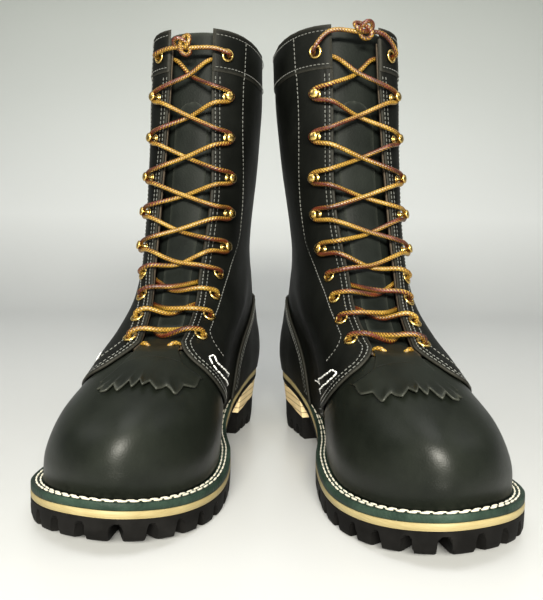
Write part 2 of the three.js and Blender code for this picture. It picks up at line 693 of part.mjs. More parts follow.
function lace(surface) {
  const inside = laceHalf(surface, 1, -1);
  const outside = laceHalf(surface, -1, 1);
  const [row, x] = EYELETS[0];
  const bar = [-x, -8, 8, x].map((place) => surface.front(row, place, -5.7));
  const centre = surface.front(KNOT.row, KNOT.x, KNOT.distance);
  const path = [centre, ...outside.reverse(), ...bar, ...inside, centre.clone().add(new THREE.Vector3(0, 0, 1))];
  const tube = sweep(path, LACE_RADIUS, LACE_SIDES);
  const knot = new THREE.SphereGeometry(KNOT.radius, 10, 6).scale(1, 0.7, 1).translate(centre.x, centre.y, centre.z);
  return join(tube, [knot]);
}

// ---------------------------------------------------------------- assembly

function buildBoot({ name, x, y, turn, mirror, lean, spread }) {
  const surface = makeSurface({ lean, spread });
  const pieces = {
    ...soleUnit(),
    vamp: [vamp(surface), LEATHER],
    toe_box: [toeBox(surface), EDGE_LEATHER],
    counter: [counter(surface), LEATHER],
    quarter_medial: [quarter(surface, 1), LEATHER],
    quarter_lateral: [quarter(surface, -1), LEATHER],
    eyelet_strip_medial: [facingStay(surface, 1), BRASS],
    eyelet_strip_lateral: [facingStay(surface, -1), BRASS],
    collar_band: [collarBand(surface), LEATHER],
    backstay: [backstay(surface), LEATHER],
    tongue: [tongue(surface), LEATHER],
    kiltie: [kiltieTop(surface), LEATHER],
    kiltie_fringe: [kiltieFringe(surface), LEATHER],
    lace: [lace(surface), LACE],
  };
  const boot = new THREE.Group();
  for (const [piece, [geometry, finish]] of Object.entries(pieces)) {
    const mesh = new THREE.Mesh(geometry, finish);
    mesh.name = `${name}_${piece}`;
    boot.add(mesh);
  }
  for (const [sideName, side] of [["medial", 1], ["lateral", -1]]) {
    HOOKS.forEach(([row, offset], i) => {
      const mesh = hook(surface, row, side * offset);
      mesh.name = `${name}_hook_${sideName}_${i + 1}`;
      boot.add(mesh);
    });
  }
  boot.scale.x = mirror;
  boot.rotation.z = toRadians(turn);
  boot.position.set(x, y, 0);
  return boot;
}

const pair = new THREE.Group();
for (const boot of BOOTS) pair.add(buildBoot(boot));

export default pair;
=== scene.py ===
"""A pair of tall black leather lace-up fire boots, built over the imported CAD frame.

The upper is one smooth surface per boot. A place on it is an angle round the boot (0 toe,
90 inside, 180 heel, 270 outside) and a height fraction (0 sole, 1 collar). Leather panels,
seams, laces and hooks all sit at a distance from that surface. Sizes here are millimetres in
the boot's own frame, with +X to the boot's inside, and become metres where a mesh is made.
"""
import math

import bpy
import numpy as np
from mathutils import Matrix, Vector


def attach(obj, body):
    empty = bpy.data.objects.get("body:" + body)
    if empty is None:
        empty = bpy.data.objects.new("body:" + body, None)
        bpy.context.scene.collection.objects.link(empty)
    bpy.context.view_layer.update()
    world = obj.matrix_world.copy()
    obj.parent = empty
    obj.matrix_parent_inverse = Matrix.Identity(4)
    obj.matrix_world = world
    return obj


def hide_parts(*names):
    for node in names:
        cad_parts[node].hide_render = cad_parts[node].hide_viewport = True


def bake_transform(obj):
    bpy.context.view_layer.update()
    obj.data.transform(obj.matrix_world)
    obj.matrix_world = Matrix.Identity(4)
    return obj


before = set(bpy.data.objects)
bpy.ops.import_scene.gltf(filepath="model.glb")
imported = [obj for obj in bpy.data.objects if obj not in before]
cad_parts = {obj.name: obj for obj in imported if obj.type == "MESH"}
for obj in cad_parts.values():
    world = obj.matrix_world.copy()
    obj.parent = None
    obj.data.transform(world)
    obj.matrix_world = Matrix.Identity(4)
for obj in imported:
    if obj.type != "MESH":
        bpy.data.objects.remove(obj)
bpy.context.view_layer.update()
MM = 0.001

# ------------------------------------------------------------------ sizes shared with the CAD

BOOTS = {
    "right": dict(x=-61.0, y=83.5, turn=-12.5, mirror=1, lean=-3.0, spread=-2.0),
    "left": dict(x=54.0, y=71.5, turn=15.0, mirror=-1, lean=2.5, spread=3.0),
}
GAP = 0.3
FOOT_OUTLINE = [
    (0, 14, -231), (20, 33, -222), (42, 49, -197), (66, 56, -158),
    (90, 46.5, -108), (112, 27, -50), (138, 30.5, 22), (160, 28, 56),
    (180, 0, 71), (200, -27, 56), (222, -34, 22), (248, -41, -50),
    (270, -49, -105), (294, -52, -152), (317, -44, -193), (340, -17, -222),
]
FOOT_HALF_WIDTH = 55.5
TOE_Y, HEEL_Y = -231, 71
UPPER_STATIONS = [
    (0.00, -231, 31, 71, 55, 55.5, 0.00, 0),
    (0.07, -235, 47, 75, 69, 55.0, 0.00, 3),
    (0.15, -228, 68, 77, 84, 50.0, 0.05, 7),
    (0.23, -207, 84, 77, 97, 42.5, 0.20, 10),
    (0.31, -178, 95, 75, 110, 40.0, 0.40, 8),
    (0.39, -145, 107, 72, 124, 39.0, 0.60, 6),
    (0.47, -110, 126, 68, 140, 37.5, 0.80, 3),
    (0.55, -83, 152, 63, 160, 36.5, 1.00, -1),
    (0.63, -66, 182, 59, 184, 38.5, 1.00, -2),
    (0.75, -59, 228, 58, 228, 41.2, 1.00, 1),
    (0.88, -57, 285, 58, 280, 43.3, 1.00, 4),
    (1.00, -55, 338, 58, 326, 42.5, 1.00, 6),
]
FRONT_ROUNDNESS, BACK_ROUNDNESS = 2.6, 2.1
SHAFT_START, SHAFT_HALF_WIDTH, SOLE_BLEND = 0.5, 40.0, 0.32

SPRING_FROM, SPRING_LENGTH, SPRING_RISE = -160, 78, 10
LUG_THICKNESS, LUG_END = 13.0, -58
MIDSOLE_THICKNESS = 5.0
WELT_THICKNESS, WELT_THIN, WELT_TAPER, WELT_END = 3.7, 0.8, -34, -4
HEEL_BREAST_Y = 4
FOREFOOT_EDGE, HEEL_EDGE = 7.5, 3.2

VAMP_TOP, THROAT_TOP, QUARTER_TOP, COLLAR_SEAM = 0.352, 0.375, 0.985, 0.925
COUNTER_TOP = 0.37
COUNTER_EDGE = [(0, 122), (0.12, 124.5), (0.25, 132), (0.33, 140), (0.37, 147)]
KILTIE_HINGE, KILTIE_TOP, KILTIE_BEND, KILTIE_FOLD_HALF = 0.334, 0.396, 0.00011, 17.5
EYELETS = [(0.381, 21), (0.432, 22.5), (0.483, 24), (0.53, 26)]
HOOKS = [(0.588, 28), (0.662, 29.5), (0.736, 29.5), (0.81, 28), (0.882, 27)]
TOP_EYELET = (0.955, 26.5)
LACE_RADIUS = 1.7
QUARTER_OUTER, OVERLAY_OUTER = 2.3, 4.7
HOOK_LACE_HEIGHT, HOOK_LACE_REACH, HOOK_LACE_SIDE, HOOK_LACE_HALF = 6.3, 3.9, 0.2, 3.8
KNOT = dict(x=-4, distance=7)
KNOT_ROW = {"right": 0.962, "left": 0.985}
KNOT_SHAPE = {"right": (2.5, 2.4, 2.9), "left": (2.3, 2.4, 2.9)}
KNOT_TILT = {"right": 0.4, "left": 1.9}

# ------------------------------------------------------------------ curves and the surface


def spline(knots, period=0):
    """A smooth curve through rows of (place, value, ...), as in the CAD."""
    rows = np.array(knots, float)
    if period:
        shift = np.zeros(rows.shape[1])
        shift[0] = period
        rows = np.vstack([rows[-2:] - shift, rows, rows[:2] + shift])
    place, values = rows[:, 0], rows[:, 1:]
    step = np.diff(place)[:, None]
    rise = np.diff(values, axis=0) / step
    inner = (rise[:-1] * step[1:] + rise[1:] * step[:-1]) / (step[:-1] + step[1:])
    slopes = np.vstack([rise[:1], inner, rise[-1:]])

    def curve(at):
        at = np.asarray(at, float)
        i = np.clip(np.searchsorted(place, at, side="right") - 1, 0, len(step) - 1)
        span = step[i, 0]
        s = ((at - place[i]) / span)[..., None]
        span = span[..., None]
        a, b, c, d = values[i], values[i + 1], slopes[i] * span, slopes[i + 1] * span
        out = a * (2 * s**3 - 3 * s**2 + 1) + c * (s**3 - 2 * s**2 + s)
        out = out + b * (3 * s**2 - 2 * s**3) + d * (s**3 - s**2)
        return out[..., 0] if out.shape[-1] == 1 else out

    return curve


def mix(a, b, s):
    return a + (b - a) * s


def clamp01(value):
    return np.clip(value, 0.0, 1.0)


def signed_power(value, power):
    return np.sign(value) * np.abs(value) ** power


def bump(x, centre, width):
    return np.exp(-(((x - centre) / width) ** 2))


FACING_CENTRE = spline([(0.2, 4), (0.3, 5), (0.38, 5), (0.6, 3), (1, 2)])
FACING_GAP = spline([
    (0.375, 13), (0.43, 14.5), (0.53, 17), (0.6, 19), (0.7, 20.5), (0.8, 19), (0.9, 17.5), (1, 17),
])
INSIDE_WING = spline([
    (0, 118), (0.08, 101), (0.15, 80), (0.23, 60), (0.27, 50), (0.31, 39), (0.35, 29), (0.375, 24),
])
OUTSIDE_WING = spline([
    (0, -116), (0.08, -95), (0.15, -70), (0.23, -44), (0.27, -31), (0.31, -20), (0.35, -12), (0.375, -8),
])
BACKSTAY_HALF = spline([(0.385, 11), (0.6, 9), (0.915, 9)])
TWIN_SEAM, COUNTER_SEAM = (2.6, 6.0), (3.4, 6.6)
SHANK_BOTTOM = spline([(-58, 8), (-40, 13.5), (-15, 25), (4, 33.5), (40, 39.5), (76, 44.5)])
SHANK_TOP = spline([(-90, 13), (-58, 13), (-40, 19.5), (-15, 31), (4, 39), (40, 45), (76, 50)])
HEEL_RUBBER_TOP = spline([(4, 19), (76, 29)])
foot_outline = spline(FOOT_OUTLINE, 360)
upper_station = spline(UPPER_STATIONS)


def toe_spring(y):
    return SPRING_RISE * (np.maximum(0, SPRING_FROM - y) / SPRING_LENGTH) ** 2


def lug_bottom(y):
    return np.where(y < LUG_END, toe_spring(y), SHANK_BOTTOM(y))


def lug_top(y):
    return np.where(y < LUG_END, toe_spring(y) + LUG_THICKNESS, SHANK_TOP(y))


def midsole_top(y):
    return lug_top(y) + GAP + MIDSOLE_THICKNESS


def welt_top(y):
    thinning = clamp01((y - WELT_TAPER) / (WELT_END - WELT_TAPER))
    return midsole_top(y) + GAP + mix(WELT_THICKNESS, WELT_THIN, thinning)


def feather_height(y):
    return welt_top(y) + GAP


class Upper:
    """The outside of one lasted upper, and the way from its own frame to the pair's."""

    def __init__(self, name, x, y, turn, mirror, lean, spread):
        self.name, self.x, self.y = name, x, y
        self.mirror, self.lean, self.spread = mirror, lean, spread
        self.turn = math.radians(turn)

    def world(self, points):
        """Metres in the pair's frame, from millimetres in the boot's own frame."""
        p = np.asarray(points, float)
        x, y = p[..., 0] * self.mirror, p[..., 1]
        c, s = math.cos(self.turn), math.sin(self.turn)
        return np.stack([self.x + x * c - y * s, self.y + x * s + y * c, p[..., 2]], -1) * MM

    def point(self, theta, t):
        theta, t = np.broadcast_arrays(np.asarray(theta, float), np.asarray(t, float))
        foot = foot_outline(theta % 360)
        station = upper_station(t)
        front_y, front_z, back_y, back_z, half_width, roundness, shift = np.moveaxis(station, -1, 0)
        shaft = clamp01((t - SHAFT_START) / (1 - SHAFT_START))
        roundness = clamp01(roundness)
        angle = np.radians(theta)
        power = 2 / np.where(np.cos(angle) > 0, FRONT_ROUNDNESS, BACK_ROUNDNESS)
        across = mix(foot[..., 0] / FOOT_HALF_WIDTH, signed_power(np.sin(angle), power), roundness)
        foot_along = (foot[..., 1] - TOE_Y) / (HEEL_Y - TOE_Y)
        along = mix(foot_along, (1 - signed_power(np.cos(angle), power)) / 2, roundness)
        heel_share = (1 - roundness) * along * 0.7
        x = (half_width + self.spread * shaft) * across + shift * (1 - heel_share) + self.lean * shaft
        y = mix(front_y, back_y, along)
        chord = mix(31, 55, (y - TOE_Y) / (HEEL_Y - TOE_Y))
        z = mix(front_z, back_z, along) + clamp01(1 - t / SOLE_BLEND) ** 1.5 * (feather_height(y) - chord)
        return np.stack([x, y, z], -1)

    def normal(self, theta, t):
        level = self.point(theta + 1, t) - self.point(theta - 1, t)
        n = np.cross(level, self.point(theta, t + 0.005) - self.point(theta, t - 0.005))
        n /= np.linalg.norm(n, axis=-1, keepdims=True)
        n[..., 2] *= clamp01(np.asarray(t) / 0.06)
        return n / np.linalg.norm(n, axis=-1, keepdims=True)

    def skin(self, theta, t, distance):
        theta, t = np.broadcast_arrays(np.asarray(theta, float), np.asarray(t, float))
        return self.point(theta, t) + self.normal(theta, t) * np.asarray(distance, float)[..., None]

    def front_angle(self, t, distance):
        """Angle of a place on the front that lies so far to the inside of the throat's middle."""
        t, distance = np.broadcast_arrays(np.asarray(t, float), np.asarray(distance, float))
        shaft = clamp01((t - SHAFT_START) / (1 - SHAFT_START))
        goal = distance * (1 + self.spread * shaft / SHAFT_HALF_WIDTH)
        goal = goal + self.point(0, t)[..., 0] + FACING_CENTRE(t)
        low, high = np.full(t.shape, -85.0), np.full(t.shape, 85.0)
        for _ in range(24):
            middle = (low + high) / 2
            less = self.point(middle, t)[..., 0] < goal
            low, high = np.where(less, middle, low), np.where(less, high, middle)
        return (low + high) / 2

    def front(self, t, x, distance):
        return self.skin(self.front_angle(t, x), t, distance)


# ------------------------------------------------------------------ camera


CAMERA_PLACE, CAMERA_TILT_AND_ROLL = (-0.0035, -0.5205, 0.183), (86.5, 0.7)
CAMERA_LENS, CAMERA_SHIFT = 45.6, -0.055


def make_camera():
    camera = bpy.data.objects.new("camera", bpy.data.cameras.new("camera"))
    bpy.context.scene.collection.objects.link(camera)
    camera.data.sensor_fit = "HORIZONTAL"
    camera.data.sensor_width = 36.0
    camera.data.lens = CAMERA_LENS
    camera.data.shift_y = CAMERA_SHIFT
    camera.data.clip_start = 0.02
    camera.location = CAMERA_PLACE
    camera.rotation_mode = "QUATERNION"
    tilt, roll = [math.radians(angle) for angle in CAMERA_TILT_AND_ROLL]
    aim = Matrix.Rotation(tilt, 4, "X") @ Matrix.Rotation(roll, 4, "Z")
    camera.rotation_quaternion = aim.to_quaternion()
    bpy.context.scene.camera = camera


make_camera()

# ------------------------------------------------------------------ mesh building


def make_mesh(name, points, faces, boot=None, smooth=True, attributes=None, uv=None):
    """A mesh object from faces and points: in millimetres and named for its boot, or in metres."""
    name = f"{boot.name}_{name}" if boot else name
    points = boot.world(points) if boot else np.asarray(points, float)
    if boot and boot.mirror < 0:
        faces = [tuple(reversed(face)) for face in faces]
        if uv is not None:
            uv = [tuple(reversed(corner)) for corner in uv]
    mesh = bpy.data.meshes.new(name)
    mesh.from_pydata(points.reshape(-1, 3).tolist(), [], [tuple(int(i) for i in face) for face in faces])
    for key, values in (attributes or {}).items():
        layer = mesh.attributes.new(key, "FLOAT", "POINT")
        layer.data.foreach_set("value", np.asarray(values, np.float32).ravel())
    if uv is not None:
        layer = mesh.uv_layers.new(name="UVMap")
        layer.data.foreach_set("uv", np.array([c for face in uv for c in face], np.float32).ravel())
    if smooth:
        mesh.polygons.foreach_set("use_smooth", [True] * len(mesh.polygons))
    mesh.validate()
    mesh.update()
    obj = bpy.data.objects.new(name, mesh)
    bpy.context.scene.collection.objects.link(obj)
    return obj


def grid_faces(rows, cols, start=0, flip=False, wrap=False):
    faces = []
    for j in range(rows - 1):
        for i in range(cols if wrap else cols - 1):
            k = (i + 1) % cols
            a, b = start + j * cols + i, start + j * cols + k
            c, d = b + cols, a + cols
            faces.append((d, c, b, a) if flip else (a, b, c, d))
    return faces


def closed_sheet(outer, inner):
    """Points and faces of a closed sheet from two grids of points, outer facing out."""
    rows, cols = outer.shape[:2]
    layer = rows * cols
    faces = grid_faces(rows, cols) + grid_faces(rows, cols, start=layer, flip=True)
    rim = [(0, i) for i in range(cols)] + [(j, cols - 1) for j in range(1, rows)]
    rim += [(rows - 1, i) for i in range(cols - 2, -1, -1)] + [(j, 0) for j in range(rows - 2, 0, -1)]
    index = [j * cols + i for j, i in rim]
    for n, a in enumerate(index):
        b = index[(n + 1) % len(index)]
        faces.append((a, a + layer, b + layer, b))
    return np.concatenate([outer.reshape(-1, 3), inner.reshape(-1, 3)]), faces


EDGE_MARGINS = (0.0, 0.35, 0.9, 1.8, 2.8, 3.8, 5.2, 6.4, 7.6, 10.0)


def edge_steps(count, length):
    """Fractions across a panel: close together near both edges, where seams and bevels are."""
    margins = [m / length for m in EDGE_MARGINS if m < length * 0.4]
    middle = np.linspace(margins[-1], 1 - margins[-1], count)[1:-1]
    return np.concatenate([margins, middle, [1 - m for m in reversed(margins)]])


def wrinkles(points, amount):
    """Slow uneven swelling of worn leather, in millimetres."""
    x, y, z = points[..., 0], points[..., 1], points[..., 2]
    wave = np.sin(x * 0.071 + z * 0.043 + 1.3) * np.sin(y * 0.061 - z * 0.037 + 0.4)
    wave += 0.6 * np.sin(z * 0.113 + y * 0.027 + 2.1) * np.sin(x * 0.09 + y * 0.05)
    return amount * wave


class Panel:
    """A leather panel between two edges, each an angle at every height."""

    def __init__(self, boot, start, end, heights, across):
        self.boot = boot
        heights = np.asarray(heights, float)
        theta0, theta1 = start(heights), end(heights)
        a, b = boot.point(theta0, heights), boot.point(theta1, heights)
        length = float(np.median(np.linalg.norm(b - a, axis=-1))) + 1e-6
        steps = edge_steps(across, max(length, 12.0))
        self.theta = mix(theta0[:, None], theta1[:, None], steps[None, :])
        self.t = np.repeat(heights[:, None], len(steps), axis=1)
        self.base = boot.point(self.theta, self.t)
        self.out = boot.normal(self.theta, self.t)
        along = np.linalg.norm(np.diff(self.base, axis=1), axis=-1)
        run = np.concatenate([np.zeros((len(heights), 1)), np.cumsum(along, axis=1)], axis=1)
        self.from_start, self.from_end = run, run[:, -1:] - run
        up = np.linalg.norm(np.diff(self.base, axis=0), axis=-1)
        climb = np.concatenate([np.zeros((1, len(steps))), np.cumsum(up, axis=0)], axis=0)
        self.from_bottom, self.from_top = climb, climb[-1:] - climb

    def build(self, name, inner, outer, edges=("start", "end", "top"), grooves=()):
        """Closes the panel. Cut edges are rounded, and grooves sink where thread pulls down."""
        outer = np.broadcast_to(np.asarray(outer, float), self.t.shape).copy()
        inner = np.broadcast_to(np.asarray(inner, float), self.t.shape).copy()
        distances = {
            "start": self.from_start, "end": self.from_end, "top": self.from_top, "bottom": self.from_bottom,
        }
        nearest = np.full(self.t.shape, 99.0)
        for edge in edges:
            nearest = np.minimum(nearest, distances[edge])
        outer -= 0.55 * np.exp(-((nearest / 0.8) ** 2))
        for edge, at in grooves:
            outer -= 0.32 * bump(distances[edge], at, 0.7)
        swell = wrinkles(self.base, 0.25) * (1 - np.exp(-nearest / 6))
        points, faces = closed_sheet(
            self.base + self.out * (outer + swell)[..., None],
            self.base + self.out * inner[..., None],
        )
        wear = np.concatenate([np.exp(-nearest / 1.2).ravel(), np.zeros(nearest.size)])
        return make_mesh(name, points, faces, self.boot, attributes={"wear": wear})


def rows_between(low, high, count, fine_low=False, fine_high=True):
    """Heights from low to high, with extra rows close to the ends that have a cut edge."""
    span = high - low
    steps = np.linspace(low, high, count)
    extra = np.array([0.0012, 0.003, 0.006, 0.011])
    extra = extra[extra < span * 0.3]
    if fine_low:
        steps = np.concatenate([steps, low + extra])
    if fine_high:
        steps = np.concatenate([steps, high - extra])
    return np.unique(np.round(steps, 6))


CORD_SIDES = 14


def tube(name, path, radius, boot, closed=False):
    """A round cord along a path, with a UV map that runs in millimetres along it."""
    path = np.asarray(path, float)
    count, sides = len(path), CORD_SIDES
    ahead = np.roll(path, -1, 0) - np.roll(path, 1, 0) if closed else np.gradient(path, axis=0)
    ahead /= np.linalg.norm(ahead, axis=1, keepdims=True)
    side = np.cross(ahead[0], [0.0, 0.0, 1.0])
    if np.linalg.norm(side) < 0.1:
        side = np.cross(ahead[0], [1.0, 0.0, 0.0])
    frames = []
    for direction in ahead:
        side = side - direction * np.dot(side, direction)
        side /= np.linalg.norm(side)
        frames.append((side, np.cross(direction, side)))
    angle = np.linspace(0, 2 * math.pi, sides, endpoint=False)
    cos, sin = np.cos(angle)[:, None], np.sin(angle)[:, None]
    points = np.concatenate([at + radius * (cos * a + sin * b) for at, (a, b) in zip(path, frames)])
    run = np.concatenate([[0], np.cumsum(np.linalg.norm(np.diff(path, axis=0), axis=1))])
    faces, uv = [], []
    for j in range(count if closed else count - 1):
        k = (j + 1) % count
        far = run[k] if k else run[j] + np.linalg.norm(path[0] - path[j])
        for i in range(sides):
            n = (i + 1) % sides
            faces.append((j * sides + i, k * sides + i, k * sides + n, j * sides + n))
            u0, u1 = i / sides, (i + 1) / sides
            uv.append(((run[j], u0), (far, u0), (far, u1), (run[j], u1)))
    if not closed:
        faces.append(tuple(range(sides)))
        uv.append(tuple((0.0, i / sides) for i in range(sides)))
        faces.append(tuple(reversed(range((count - 1) * sides, count * sides))))
        uv.append(tuple((run[-1], i / sides) for i in range(sides)))
    return make_mesh(name, points, faces, boot, uv=uv)


def lathe(profile, sides):
    """Points and faces of a turned piece about +Z, from (radius, height) pairs."""
    points = []
    angle = np.linspace(0, 2 * math.pi, sides, endpoint=False)
    for radius, height in profile:
        ring = np.stack([np.cos(angle) * radius, np.sin(angle) * radius, np.full(sides, float(height))], -1)
        points.append(ring)
    return np.concatenate(points), grid_faces(len(profile), sides, wrap=True)


def stand_on(points, position, direction, twist=(0.0, 0.0, 1.0)):
    """Turns points made about +Z so that they stand at position along direction."""
    z = np.asarray(direction, float)
    x = np.cross(np.asarray(twist, float), z)
    x /= np.linalg.norm(x)
    y = np.cross(z, x)
    return np.asarray(position) + points[:, :1] * x + points[:, 1:2] * y + points[:, 2:3] * z


def join_parts(parts):
    points, faces, offset = [], [], 0
    for part_points, part_faces in parts:
        points.append(part_points)
        faces += [tuple(i + offset for i in face) for face in part_faces]
        offset += len(part_points)
    return np.concatenate(points), faces


def resample(path, spacing):
    run = np.concatenate([[0], np.cumsum(np.linalg.norm(np.diff(path, axis=0), axis=1))])
    count = max(2, int(round(run[-1] / spacing)) + 1)
    at = np.linspace(0, run[-1], count)
    return np.stack([np.interp(at, run, path[:, k]) for k in range(path.shape[1])], -1)


def smooth_path(points, per_span):
    """A centripetal curve through given points."""
    p = np.asarray(points, float)
    run = np.concatenate([[0], np.cumsum(np.linalg.norm(np.diff(p, axis=0), axis=1) ** 0.5)])
    curve = spline(np.column_stack([run, p]))
    spans = [np.linspace(a, b, per_span, endpoint=False) for a, b in zip(run[:-1], run[1:])]
    return curve(np.concatenate([*spans, [run[-1]]]))


STITCH_PROFILE = [(-1.0, 0.25), (-0.8, 0.75), (-0.3, 1.0), (0.3, 1.0), (0.8, 0.75), (1.0, 0.25)]


def stitch_line(path, normals, length, gap, radius):
    """Separate thread stitches along a path, each a short rounded lozenge lying on the leather."""
    both = resample(np.concatenate([path, normals], axis=1), length + gap)
    parts = []
    for a, b in zip(both[:-1], both[1:]):
        middle, out = (a[:3] + b[:3]) / 2, (a[3:] + b[3:]) / 2
        along = b[:3] - a[:3]
        size = np.linalg.norm(along)
        if size < 1e-6:
            continue
        along /= size
        out = out - along * np.dot(out, along)
        out /= np.linalg.norm(out)
        side = np.cross(out, along)
        half = length / 2
        points = []
        for place, width in STITCH_PROFILE:
            for k in range(6):
                angle = k * math.pi / 3
                away = side * math.cos(angle) + out * math.sin(angle)
                points.append(middle + along * place * half + away * radius * width)
        faces = grid_faces(len(STITCH_PROFILE), 6, wrap=True)
        faces += [tuple(reversed(range(6))), tuple(range(30, 36))]
        parts.append((np.array(points), faces))
    return parts


# ------------------------------------------------------------------ materials


class Look:
    """One material's node tree, with short ways to add the nodes that the looks here share."""

    def __init__(self, name):
        self.material = bpy.data.materials.new(name)
        self.material.use_nodes = True
        self.tree = self.material.node_tree
        self.place = self.node("ShaderNodeTexCoord").outputs["Object"]

    def feed(self, target, inputs):
        """Links a socket to each input of a node, or sets the input's own value."""
        for key, value in inputs.items():
            if isinstance(value, bpy.types.NodeSocket):
                self.tree.links.new(value, target.inputs[key])
            else:
                target.inputs[key].default_value = value

    def node(self, kind, inputs=None, **settings):
        made = self.tree.nodes.new(kind)
        for key, value in settings.items():
            setattr(made, key, value)
        self.feed(made, inputs or {})
        return made

    def noise(self, scale, detail, roughness=0.5, place=None):
        place = self.place if place is None else place
        inputs = {"Vector": place, "Scale": scale, "Detail": detail, "Roughness": roughness}
        return self.node("ShaderNodeTexNoise", inputs).outputs["Fac"]

    def axes(self, vector):
        return self.node("ShaderNodeSeparateXYZ", {"Vector": vector}).outputs

    def ramp(self, factor, stops):
        ramp = self.node("ShaderNodeValToRGB", {"Fac": factor})
        elements = ramp.color_ramp.elements
        while len(elements) < len(stops):
            elements.new(0.5)
        for element, (place, colour) in zip(elements, stops):
            element.position = place
            element.color = (*colour, 1.0)
        return ramp.outputs["Color"]

    def blend(self, factor, a, b, **settings):
        a, b = [(*c, 1.0) if isinstance(c, tuple) else c for c in (a, b)]
        return self.node("ShaderNodeMix", {0: factor, 6: a, 7: b}, data_type="RGBA", **settings).outputs[2]

    def math(self, operation, a, b=0.0, c=0.0):
        return self.node("ShaderNodeMath", {0: a, 1: b, 2: c}, operation=operation).outputs[0]

    def scaled(self, value, factor, offset):
        return self.math("MULTIPLY_ADD", value, factor, offset)

    def bump(self, height, strength, distance):
        inputs = {"Height": height, "Strength": strength, "Distance": distance}
        return self.node("ShaderNodeBump", inputs).outputs["Normal"]

    def finish(self, inputs):
        self.feed(self.tree.nodes["Principled BSDF"], inputs)
        return self.material


def leather(name, dark, light, edge, roughness, grain=0.35, scale=900.0, specular=0.14):
    """Smooth full-grain leather: pores, faint mottling, and paler worn edges."""
    look = Look(name)
    mottle, fine = look.noise(38.0, 5.0, 0.6), look.noise(620.0, 3.0)
    pores = look.node("ShaderNodeTexVoronoi", {"Vector": look.place, "Scale": scale}).outputs["Distance"]
    wear = look.node("ShaderNodeAttribute", attribute_name="wear").outputs["Fac"]
    worn = look.math("MULTIPLY", wear, look.scaled(fine, 0.9, 0.1))
    return look.finish({
        "Base Color": look.blend(worn, look.ramp(mottle, [(0.3, dark), (0.75, light)]), edge),
        "Roughness": look.scaled(fine, 0.08, look.scaled(mottle, 0.22, roughness - 0.11)),
        "Normal": look.bump(look.scaled(fine, 0.5, pores), grain, 0.0003),
        "Specular IOR Level": specular,
    })


def rubber(name, colour, roughness):
    look = Look(name)
    dust = look.noise(60.0, 6.0)
    pale = tuple(c * 1.8 + 0.002 for c in colour)
    return look.finish({
        "Base Color": look.ramp(dust, [(0.42, colour), (0.75, pale)]),
        "Roughness": look.scaled(dust, 0.25, roughness - 0.12),
        "Normal": look.bump(look.noise(900.0, 2.0), 0.3, 0.0002),
        "Specular IOR Level": 0.05,
    })


def cut_leather(name, dark, light, layers=0.0):
    """The cut edge of sole leather: long fibres in level bands, and glue lines between layers."""
    look = Look(name)
    flat = look.node("ShaderNodeMapping", {"Vector": look.place, "Scale": (1.0, 1.0, 14.0)}).outputs["Vector"]
    fibre = look.noise(90.0, 6.0, 0.7, flat)
    tone = look.scaled(look.noise(22.0, 3.0), 0.5, look.math("MULTIPLY", fibre, 0.6))
    colour = look.ramp(tone, [(0.35, dark), (0.7, light)])
    if layers:
        saw = look.math("FRACT", look.math("DIVIDE", look.axes(look.place)["Z"], layers))
        off_middle = look.math("ABSOLUTE", look.math("SUBTRACT", saw, 0.5))
        glue = look.math("LESS_THAN", off_middle, 0.06)
        colour = look.blend(glue, colour, tuple(c * 0.35 for c in dark))
    return look.finish({
        "Base Color": colour,
        "Roughness": look.scaled(fibre, 0.2, 0.5),
        "Normal": look.bump(fibre, 0.35, 0.0003),
    })


def thread(name, colour):
    look = Look(name)
    ply = look.noise(1400.0, 2.0)
    return look.finish({
        "Base Color": look.ramp(ply, [(0.3, tuple(c * 0.6 for c in colour)), (0.65, colour)]),
        "Normal": look.bump(ply, 0.5, 0.0002),
        "Roughness": 0.75,
        "Sheen Weight": 0.3,
    })


CORD_WIND, CORD_WEAVE, CORD_STRANDS = 96.0, 2.3, 4.0


def braided_cord(name):
    """Round braid in gold with a red-brown fleck that winds round it. UV runs in millimetres."""
    look = Look(name)
    uv = look.axes(look.node("ShaderNodeUVMap", uv_map="UVMap").outputs["UV"])
    along, around = uv["X"], uv["Y"]
    uneven = look.noise(160.0, 2.0)
    wind = look.math("FRACT", look.math("ADD", look.math("DIVIDE", along, CORD_WIND), around))
    right, left = [
        look.math("FRACT", look.scaled(around, turns, look.math("DIVIDE", along, CORD_WEAVE)))
        for turns in (CORD_STRANDS, -CORD_STRANDS)
    ]
    weave = look.math("MULTIPLY", look.math("PINGPONG", right, 0.5), look.math("PINGPONG", left, 0.5))
    fleck = look.math("GREATER_THAN", look.scaled(right, 0.42, look.math("PINGPONG", wind, 0.5)), 0.5)
    golds = [(0.3, (0.40, 0.20, 0.018)), (0.6, (0.60, 0.35, 0.045)), (0.8, (0.74, 0.50, 0.12))]
    gold = look.ramp(uneven, golds)
    brown = look.ramp(uneven, [(0.3, (0.05, 0.005, 0.003)), (0.7, (0.2, 0.02, 0.007))])
    # Painted shade: the cord's colour is darkened in the hollows between the braid's strands.
    painted_hollow_shade = look.scaled(weave, 3.2, 0.2)
    painted_shade_colour = look.node("ShaderNodeCombineColor", {"Red": painted_hollow_shade, "Green": painted_hollow_shade, "Blue": painted_hollow_shade}).outputs[0]
    return look.finish({
        "Base Color": look.blend(1.0, look.blend(fleck, gold, brown), painted_shade_colour, blend_type="MULTIPLY"),
        "Normal": look.bump(weave, 0.9, 0.0012),
        "Roughness": 0.36,
        "Specular IOR Level": 0.5,
    })


def metal(name, colour, roughness):
    look = Look(name)
    rub = look.noise(450.0, 4.0)
    return look.finish({
        "Base Color": look.ramp(rub, [(0.3, tuple(c * 0.72 for c in colour)), (0.6, colour)]),
        "Roughness": look.scaled(rub, 0.2, roughness - 0.08),
        "Metallic": 1.0,
    })


